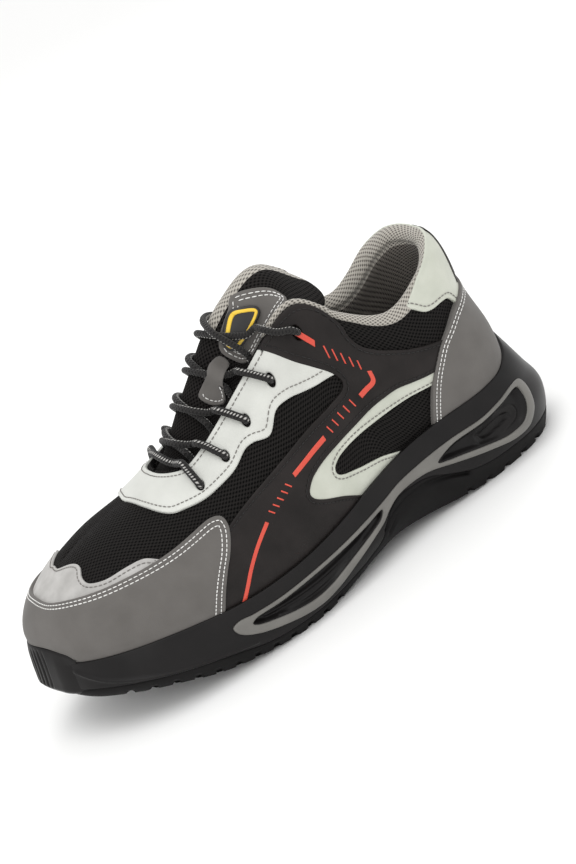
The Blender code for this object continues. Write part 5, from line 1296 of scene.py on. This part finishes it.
# Tongue: padded spacer mesh, its back and upper inner corner in rib knit.
tongueShape = {"front": 0.70, "along": 130, "across": 110, "roundEdge": 5.0 * mm, "fill": 0.6}
tongueLabel = {"top": 3.2 * mm, "rimInset": 1.7 * mm, "rimWidth": 1.3 * mm, "rimBase": 3.15 * mm,
               "rimHeight": 0.5 * mm}
keeperLoop = {"middle": 0.481, "reach": 0.0145, "height": 5.0 * mm}


def loopChart(along, across, lift):
    # The tongue's face, raised where the keeper passes over the laces of the fourth row.
    away = (along / shoe["chartAlong"] - keeperLoop["middle"]) / keeperLoop["reach"]
    return tongueChart(along, across, lift + keeperLoop["height"] * np.exp(-np.abs(away) ** 3))


def makeTongue():
    rows, columns = tongueShape["along"] + 1, tongueShape["across"] + 1
    q = 1 + (2 * np.arange(columns) / tongueShape["across"] - 1) * (1 - tongueSide)
    s = 1 - (1 - np.arange(rows) / tongueShape["along"]) ** 1.6
    qGrid, sGrid = np.broadcast_arrays(q[None], s[:, None])
    end = tongueEndCurve(qGrid)
    tGrid = tongueShape["front"] + (end - tongueShape["front"]) * sGrid
    toEnd = (tGrid - end) * shoe["chartAlong"]
    toSide = np.minimum(qGrid - tongueSide, 2 - tongueSide - qGrid) * shoe["chartAcross"]
    e = np.clip(np.minimum(toEnd, toSide) / tongueShape["roundEdge"], 0, 1)
    depth = 0.5 * (1 - np.sqrt(1 - (1 - e) ** 2))
    front, back = tonguePoint(tGrid, qGrid, depth), tonguePoint(tGrid, qGrid, 1 - depth)
    drawn = np.stack([tGrid * shoe["chartAlong"], qGrid * shoe["chartAcross"]], -1) / mm
    points = np.concatenate([front.reshape(-1, 3), back.reshape(-1, 3)])
    faces = gridFaces(rows, columns) + gridFaces(rows, columns, first=rows * columns, flip=True)
    clothes = [finish["tongueSpacerMesh"], finish["greigeRibKnit"]]
    drawn = np.concatenate([drawn.reshape(-1, 2)] * 2)
    made = addPiece("paddedTongue", points, faces, clothes, drawn)
    half = (rows - 1) * (columns - 1)
    index = np.zeros(half * 2, int)
    index[half:] = 1
    middleT, middleQ = ((grid[:-1, :-1] + grid[1:, 1:]).ravel() / 2 for grid in (tGrid, qGrid))
    inKnit = (middleQ > 0.945) & (middleT < 0.44 - 0.10 * np.clip(middleQ - 0.95, 0, 1))
    index[:half][inKnit] = 1  # the upper inner corner of the front face
    made.data.polygons.foreach_set("material_index", index)
    recalculate(made)
    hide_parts("tongue")
    sewnPiece("tonguePatch", "tongue_patch", tonguePatch, tongueChart, 1.3 * mm, "greyMicrosuede",
              (1.8, 3.4), "whiteThread", -0.05, swell=0.2 * mm)
    sewnPiece("laceKeeper", "lace_keeper", laceKeeper, loopChart, 1.3 * mm, "greyMicrosuede",
              (1.8,), "whiteThread", -0.05, ((3, 9),), swell=0.2 * mm)
    sewnPiece("labelBase", "tongue_badge", tongueBadge, tongueChart, tongueLabel["top"], "blackLabelRubber",
              fine=0.6)
    points, faces = [], []
    stripOver(tongueChart, outlineRun(tongueBadge, tongueLabel["rimInset"]), tongueLabel["rimWidth"],
              tongueLabel["rimBase"], tongueLabel["rimHeight"], points, faces)
    made = addPiece("labelRim", np.concatenate(points), faces, finish["yellowLabelRubber"])
    recalculate(made)
    print("tongue made")


makeTongue()


# Lace: a straight bar at the front row, then crossings that come up beside the tongue and end in the eyelets.
lace = {
    "radius": 1.95 * mm,
    "flatten": 0.85,
    # Each row from the front: reach towards the next row, lift over the tongue, hump of the outer strand
    "rows": [
        (0.0, 4.1 * mm, 0.0), (0.72, 4.1 * mm, 1.5 * mm), (0.82, 4.1 * mm, 1.5 * mm),
        (0.90, 2.9 * mm, 1.0 * mm), (1.08, 5.9 * mm, -1.5 * mm),
    ],
    "pulledDown": 2.2 * mm,  # lift on the tongue's inner side, where the strands draw down against it
    "crossAt": 0.925,  # place over the tongue where the two strands of a row cross
    "over": np.array((0.2, 0.1, 1.0)),  # the way in which the cord is flattened
}


def oneSpot(chart, t, q, lift):
    return chart(np.array([t * shoe["chartAlong"]]), np.array([q * shoe["chartAcross"]]), np.array([lift]))[0]


def laceEnd(row, side, drift=0.0):
    # The last marks of a strand: down over the stay's edge and into the eyelet.
    t, v = eyelets[row]
    top = (layers["second"] if row == len(eyelets) - 1 else layers["first"]) + 0.4 * mm
    ends = ((0.46, 0.755, top + 2.8 * mm), (0.29, 0.715, top + 2.5 * mm), (0.09, v + 0.018, top + 1.9 * mm),
            (0.0, v + 0.002, top + 0.4 * mm), (0.0, v, -2.0 * mm))
    return [oneSpot(acrossChart, t + drift * a, onSide(side, b), lift) for a, b, lift in ends]


def makeLaces():
    t = eyelets[0][0]
    marks = laceEnd(0, -1)[::-1]
    for q, bow in barBow:
        marks.append(oneSpot(tongueChart, t + bow, q, lace["rows"][0][1] + 1.2 * mm))
    marks += laceEnd(0, 1)
    look = {"flatten": lace["flatten"], "over": lace["over"]}
    made = tubeAlong("laceBar.1", smoothLine(marks, 7), lace["radius"], finish["braidedLace"], "laces",
                     **look)
    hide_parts("lace_bar_1")
    tucked = ((1.06, 1.262, -1.0 * mm), (1.04, 1.238, 0.6 * mm), (1.02, 1.212, 1.8 * mm))  # beside the tongue
    for row in range(1, len(eyelets)):
        t = eyelets[row][0]
        reach, rise, hump = lace["rows"][row]
        drift = (eyelets[row - 1][0] - t) * reach
        for side, name, strand in ((-1, "outer", outerStrand), (1, "inner", innerStrand)):
            marks = []
            for left, place, lift in tucked:
                marks.append(oneSpot(tongueChart, t + drift * left, onSide(side, place), lift))
            for left, place in strand:
                place = onSide(side, place)
                away = (place - lace["crossAt"]) / 0.06
                pull = min(max((place - lace["crossAt"]) / 0.08, 0.0), 1.0)
                height = rise + (lace["pulledDown"] - rise) * pull
                height -= side * hump * math.exp(-(away**2)) * (1 - pull)
                marks.append(oneSpot(tongueChart, t + drift * left, place, height))
            marks += laceEnd(row, side, drift)
            name = "laceCross.%d.%s" % (row + 1, name)
            made = tubeAlong(name, smoothLine(marks, 7), lace["radius"], finish["braidedLace"], "laces",
                             **look)
            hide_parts("lace_cross_%d" % (row + 1))
    print("laces made")


makeLaces()


# Sole: moulded foam on a rubber tread. Its side carries two framed hollows. The drawings of the side are in
# millimetres, x along the shoe and z up.
soleShape = {
    "columns": 900,
    "foamRows": 60,
    "rubberRows": 26,
    "bottomRows": 44,
    "hollowDepth": 3.0 * mm,
    "slotDepth": 2.4 * mm,
    "foreRidge": 1.3 * mm,  # heights of the moulded lines on the side
    "slotLip": 1.0 * mm,
    "noseRidge": 0.9 * mm,
    "archDepths": (1.6 * mm, 1.2 * mm),
    "lineWidth": 0.9 * mm,
    "partingDepth": 0.6 * mm,
    "partingWidth": 0.45 * mm,
    "notchDepth": 2.4 * mm,  # of the tread's grooves, seen from the side
}
heelSlot = [(90.5, 22.5), (89.5, 25.2), (97.5, 26.6), (107, 27), (111.5, 25.5), (111, 22.8), (103, 21.6),
            (95.5, 21.2)]
slotLip = [(88, 20.8), (87, 26.6), (97, 28.6), (108, 29), (114.5, 26.2), (113.5, 21.2), (103, 19.2), (95, 19)]
archGrooves = [
    [(23, 15.6), (28, 18.5), (39.5, 21.4), (52.5, 21.6), (63.5, 18.6), (76, 12.4)],
    [(25, 13), (33.5, 18), (45.5, 20.2), (56, 19.8), (66, 16.8), (76, 12.4)],
]
foreRidges = [
    [(-50, 18.8), (-36, 17.4), (-20, 17), (-4, 18.2), (12, 20.8), (22, 23.2)],
    [(-44, 15.6), (-30, 14.4), (-16, 14.6), (-4, 16.4), (10, 19.2)],
]
noseRidge = [(-133.5, 35.5), (-129, 31), (-123.5, 27.6), (-116, 24.8), (-108, 22.2), (-100, 19.8),
             (-91, 17.4), (-82, 15.4), (-70, 13), (-60, 11)]
# For grooves under the ball and under the heel: where the first lies, how far apart they are, and how many.
tread = {"depth": 3.2 * mm, "gap": 2.6 * mm, "fore": (-119 * mm, 9.6 * mm, 12), "heel": (74 * mm, 12 * mm, 5)}


def lineDistance(x, z, marks, closed=False):
    # Distance to a round line through marks in millimetres, or to a closed outline in metres.
    marks = smoothLine(np.array(marks) * mm, 4) if not closed else np.array(marks)
    best = np.full(x.shape, 1e9)
    pairs = zip(marks, np.roll(marks, -1, 0)) if closed else zip(marks[:-1], marks[1:])
    for (ax, az), (bx, bz) in pairs:
        length = (bx - ax) ** 2 + (bz - az) ** 2 + 1e-12
        s = np.clip(((x - ax) * (bx - ax) + (z - az) * (bz - az)) / length, 0, 1)
        best = np.minimum(best, np.hypot(x - ax - s * (bx - ax), z - az - s * (bz - az)))
    return best


def windowDepth(x, z, rows, soft):
    # 0 outside an outline, 1 well inside it.
    ring = outlinePoints(rows, (mm, mm), 2.0 * mm)[0]
    spots = np.stack([x.ravel(), z.ravel()], -1)
    near = (x > ring[:, 0].min()) & (x < ring[:, 0].max()) & (z > ring[:, 1].min()) & (z < ring[:, 1].max())
    out = np.zeros(x.shape)
    if near.any():
        picked = spots[near.ravel()]
        within = insideOf(picked, ring)
        away = lineDistance(picked[:, 0], picked[:, 1], ring, closed=True)
        out[near] = np.where(within, np.clip(away / soft, 0, 1), 0.0)
    return out * out * (3 - 2 * out)


def grooveShare(x, part, left=0):
    # 1 in the middle of a tread groove that runs across the shoe, 0 on a lug; the last few can be left out.
    first, pitch, count = tread[part]
    k = np.clip(np.round((x - first) / pitch), 0, count - left - 1)
    away = np.abs(x - (first + k * pitch))
    return np.clip((tread["gap"] / 2 + 0.5 * mm - away) / (0.6 * mm), 0, 1)


def along(x, z, marks, width):
    # 1 on a line, fading to 0 beside it.
    return np.exp(-((lineDistance(x, z, marks) / width) ** 2))


def sideRelief(x, z, t):
    # How far the sole's side stands out or is cut in at a place.
    deep = soleShape["hollowDepth"]
    fore, heel = windowDepth(x, z, frontWindow, 1.6 * mm), windowDepth(x, z, heelWindow, 2.4 * mm)
    relief = -deep * fore - 1.1 * deep * heel
    relief -= soleShape["slotDepth"] * windowDepth(x, z, heelSlot, 1.2 * mm)
    wide = soleShape["lineWidth"]
    for ridge in foreRidges:
        relief += soleShape["foreRidge"] * along(x, z, ridge, wide) * (fore > 0.3)
    for groove, depth in zip(archGrooves, soleShape["archDepths"]):
        relief -= depth * along(x, z, groove, wide)
    relief += soleShape["slotLip"] * along(x, z, slotLip + slotLip[:1], 1.0 * mm) * heel
    relief += soleShape["noseRidge"] * along(x, z, noseRidge, wide)
    parting = partingCurve(t) * shoe["stack"]
    return relief - soleShape["partingDepth"] * np.exp(-(((z - parting) / soleShape["partingWidth"]) ** 2))


def makeSole():
    columns = soleShape["columns"]
    u = np.arange(columns) * 2.0 / columns
    _, t, x0, y0, wayX, wayY = ribAt(u)
    marks = soleMarks(u)
    split = soleLevel(marks, partingCurve(t) * shoe["stack"])

    def sideRows(low, high, rows):
        # Rings of the side from one level to another, with relief and the tread's notches.
        place = []
        for s in np.linspace(0, 1, rows + 1):
            w = low + (high - low) * s
            r, z = soleSide(marks, w)
            x = x0 + r * wayX
            r = r + sideRelief(x, z, t)
            above = z - groundAt(x)
            fore = grooveShare(x, "fore") * (np.sin(np.radians(spineTurn(t))) > 0.5)
            heel = grooveShare(x, "heel")
            r = r - soleShape["notchDepth"] * np.maximum(fore, heel) * np.clip(1.2 - above / tread["depth"],
                                                                               0, 1)
            place.append(np.stack([x0 + r * wayX, y0 + r * wayY, z], -1))
        return np.array(place)

    foam = sideRows(split, np.ones(columns), soleShape["foamRows"])
    rimR, rimZ = soleSide(marks, np.ones(columns))
    lip = []  # over the rim and down behind it
    for inward, lower in ((0.5, -0.25), (1.3, -0.1), (2.4, 0.0), (3.2, 0.25), (3.7, 0.9), (4.0, 4.0)):
        r = rimR - inward * mm
        lip.append(np.stack([x0 + r * wayX, y0 + r * wayY, rimZ - lower * mm + 0.1 * mm], -1))
    foam = np.concatenate([foam, np.array(lip)])
    made = addPiece("mouldedMidsole", foam, gridFaces(len(foam), columns, True), finish["blackMouldedFoam"])
    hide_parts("midsole")
    side = sideRows(np.zeros(columns), split, soleShape["rubberRows"])
    edge = soleSide(marks, np.zeros(columns))[0]
    bottom = []
    for s in np.linspace(0, 1, soleShape["bottomRows"] + 1):
        r = (edge - 1.2 * mm) * (1 - s)
        x, y = x0 + r * wayX, y0 + r * wayY
        ground = groundAt(x)
        fore = grooveShare(x + 0.25 * np.abs(y - y0), "fore", 1) * (x < -8 * mm)
        heel = grooveShare(x, "heel") * (np.abs(y - y0) > 10 * mm)
        middle = np.clip((1.6 * mm - np.abs(y - y0)) / (0.6 * mm), 0, 1) * (x < 10 * mm)
        cut = np.maximum(np.maximum(fore, heel), middle)
        bottom.append(np.stack([x, y, ground + tread["depth"] * cut * min(1.0, s * 12 + 0.35)], -1))
    rubber = np.concatenate([np.array(bottom)[::-1], side])
    made = addPiece("rubberOutsole", rubber, gridFaces(len(rubber), columns, True),
                    finish["blackNitrileRubber"])
    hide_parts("outsole")
    windows = [frontWindow, heelWindow]
    for direction, node in ((-1, "outer"), (1, "inner")):
        sewnPiece("sideFrame." + node, "side_frame_" + node, sideFrame, soleChart(direction), 0.9 * mm,
                  "greyThermoplastic", swell=0.5 * mm, fine=0.6, holes=windows, size=(mm, mm))
    print("sole made")


makeSole()


# Toe bumper: a rubber apron that climbs the toe in front of the cap, fluted at its nose.
bumper = {
    "end": 0.885,
    "columns": 260,
    "rows": 34,
    "thickness": 2.3 * mm,
    "overRim": 3.7 * mm,  # reach over the upper where the bumper leaves the sole's rim
    "atTop": 3.2 * mm,  # reach over the upper at its top edge
    "flutes": 9,
    "fluteDepth": 1.1 * mm,
    "fluteSpan": 0.055,
    "fluteLean": 0.35,
}
bumperTop = [(0.885, 0.100), (0.893, 0.128), (0.91, 0.158), (0.94, 0.188), (0.97, 0.205), (1.0, 0.209)]


def makeBumper():
    topV = curve(bumperTop, 1)
    u = np.linspace(bumper["end"], 2 - bumper["end"], bumper["columns"] + 1)
    _, t, x0, y0, wayX, wayY = ribAt(u)
    marks = soleMarks(u)
    fade = np.clip((t - bumper["end"]) / 0.045, 0, 1)
    fade = fade * fade * (3 - 2 * fade)
    topZ = upperPoint(u, topV(t))[:, 2]
    rimZ = soleSide(marks, np.ones(len(u)))[1]
    topZ = np.maximum(topZ, rimZ + 0.5 * mm)
    lowZ = soleSide(marks, np.zeros(len(u)))[1] + 3.0 * mm
    place = []
    for s in np.linspace(0, 1, bumper["rows"] + 1):
        z = lowZ + (topZ - lowZ) * s
        onSole = z <= rimZ
        full = bumper["thickness"] * fade
        below = soleSide(marks, soleLevel(marks, np.minimum(z, rimZ)))[0] + full - 0.5 * mm * (1 - fade) ** 4
        climb = np.clip((z - rimZ) / np.maximum(topZ - rimZ, 0.5 * mm), 0, 1)
        above = upperReachAt(u, np.maximum(z, rimZ))
        above = above + (bumper["overRim"] + full) * (1 - climb) + bumper["atTop"] * climb
        r = np.where(onSole, below, above)
        nose = np.clip((t - 0.945) / 0.02, 0, 1) * np.clip(s / 0.15, 0, 1) * np.clip((1 - s) / 0.25, 0, 1)
        bent = (u - 1.0) / bumper["fluteSpan"] + bumper["fluteLean"] * (s - 0.5) ** 2 * np.sign(u - 1.0)
        r = r - bumper["fluteDepth"] * nose * (0.5 + 0.5 * np.cos(bent * math.pi * bumper["flutes"])) ** 3
        if s < 0.08:
            r = r - 0.8 * mm * (1 - s / 0.08)
        place.append(np.stack([x0 + r * wayX, y0 + r * wayY, z], -1))
    top = place[-1]
    out = np.stack([wayX, wayY, np.zeros(len(u))], -1)
    before = [place[0] - out * 3.0 * mm]
    after = [top + (0, 0, 0.35 * mm) - out * 0.6 * mm, top + (0, 0, 0.35 * mm) - out * 1.6 * mm,
             top - out * 2.6 * mm, top - out * 4.5 * mm - np.array((0, 0, 3 * mm))]
    rows = np.array(before + place + after)
    made = addPiece("toeBumper", rows, gridFaces(len(rows), len(u)), finish["blackMouldedFoam"])
    recalculate(made)
    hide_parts("toe_bumper")
    print("bumper made")


makeBumper()


# Insole: a thin foam bed under brushed cloth.
insole = {"thickness": 4.0 * mm, "edgeRise": 2.5 * mm, "gap": 0.6 * mm, "columns": 220, "rows": 24}


def makeInsole():
    u = np.arange(insole["columns"]) * 2.0 / insole["columns"]
    _, _, x0, y0, wayX, wayY = ribAt(u)
    inner = onUpper(u, np.full(len(u), 0.05), np.full(len(u), -shoe["wall"]))
    reach = np.hypot(inner[:, 0] - x0, inner[:, 1] - y0) - insole["gap"]
    rows = []
    for s in np.linspace(0, 1, insole["rows"] + 1):
        r = reach * s
        rise = insole["thickness"] + insole["edgeRise"] * np.clip((s - 0.8) / 0.2, 0, 1) ** 2
        x = x0 + r * wayX
        rows.append(np.stack([x, y0 + r * wayY, bedAt(x) + rise], -1))
    rows.append(rows[-1] - (0, 0, 5 * mm))
    rows = np.array(rows)
    drawn = rows[..., :2] / mm
    made = addPiece("insoleBed", rows, gridFaces(len(rows), insole["columns"], True), finish["insoleCloth"],
                    drawn)
    recalculate(made)
    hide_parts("insole")
    print("insole made")


makeInsole()
threadSlots = (("whiteThread", "toe_cap"), ("greyThread", "eyestay"), ("blackThread", "side_panel_outer"))
makeThreads({thread: (finish[thread], slot) for thread, slot in threadSlots})
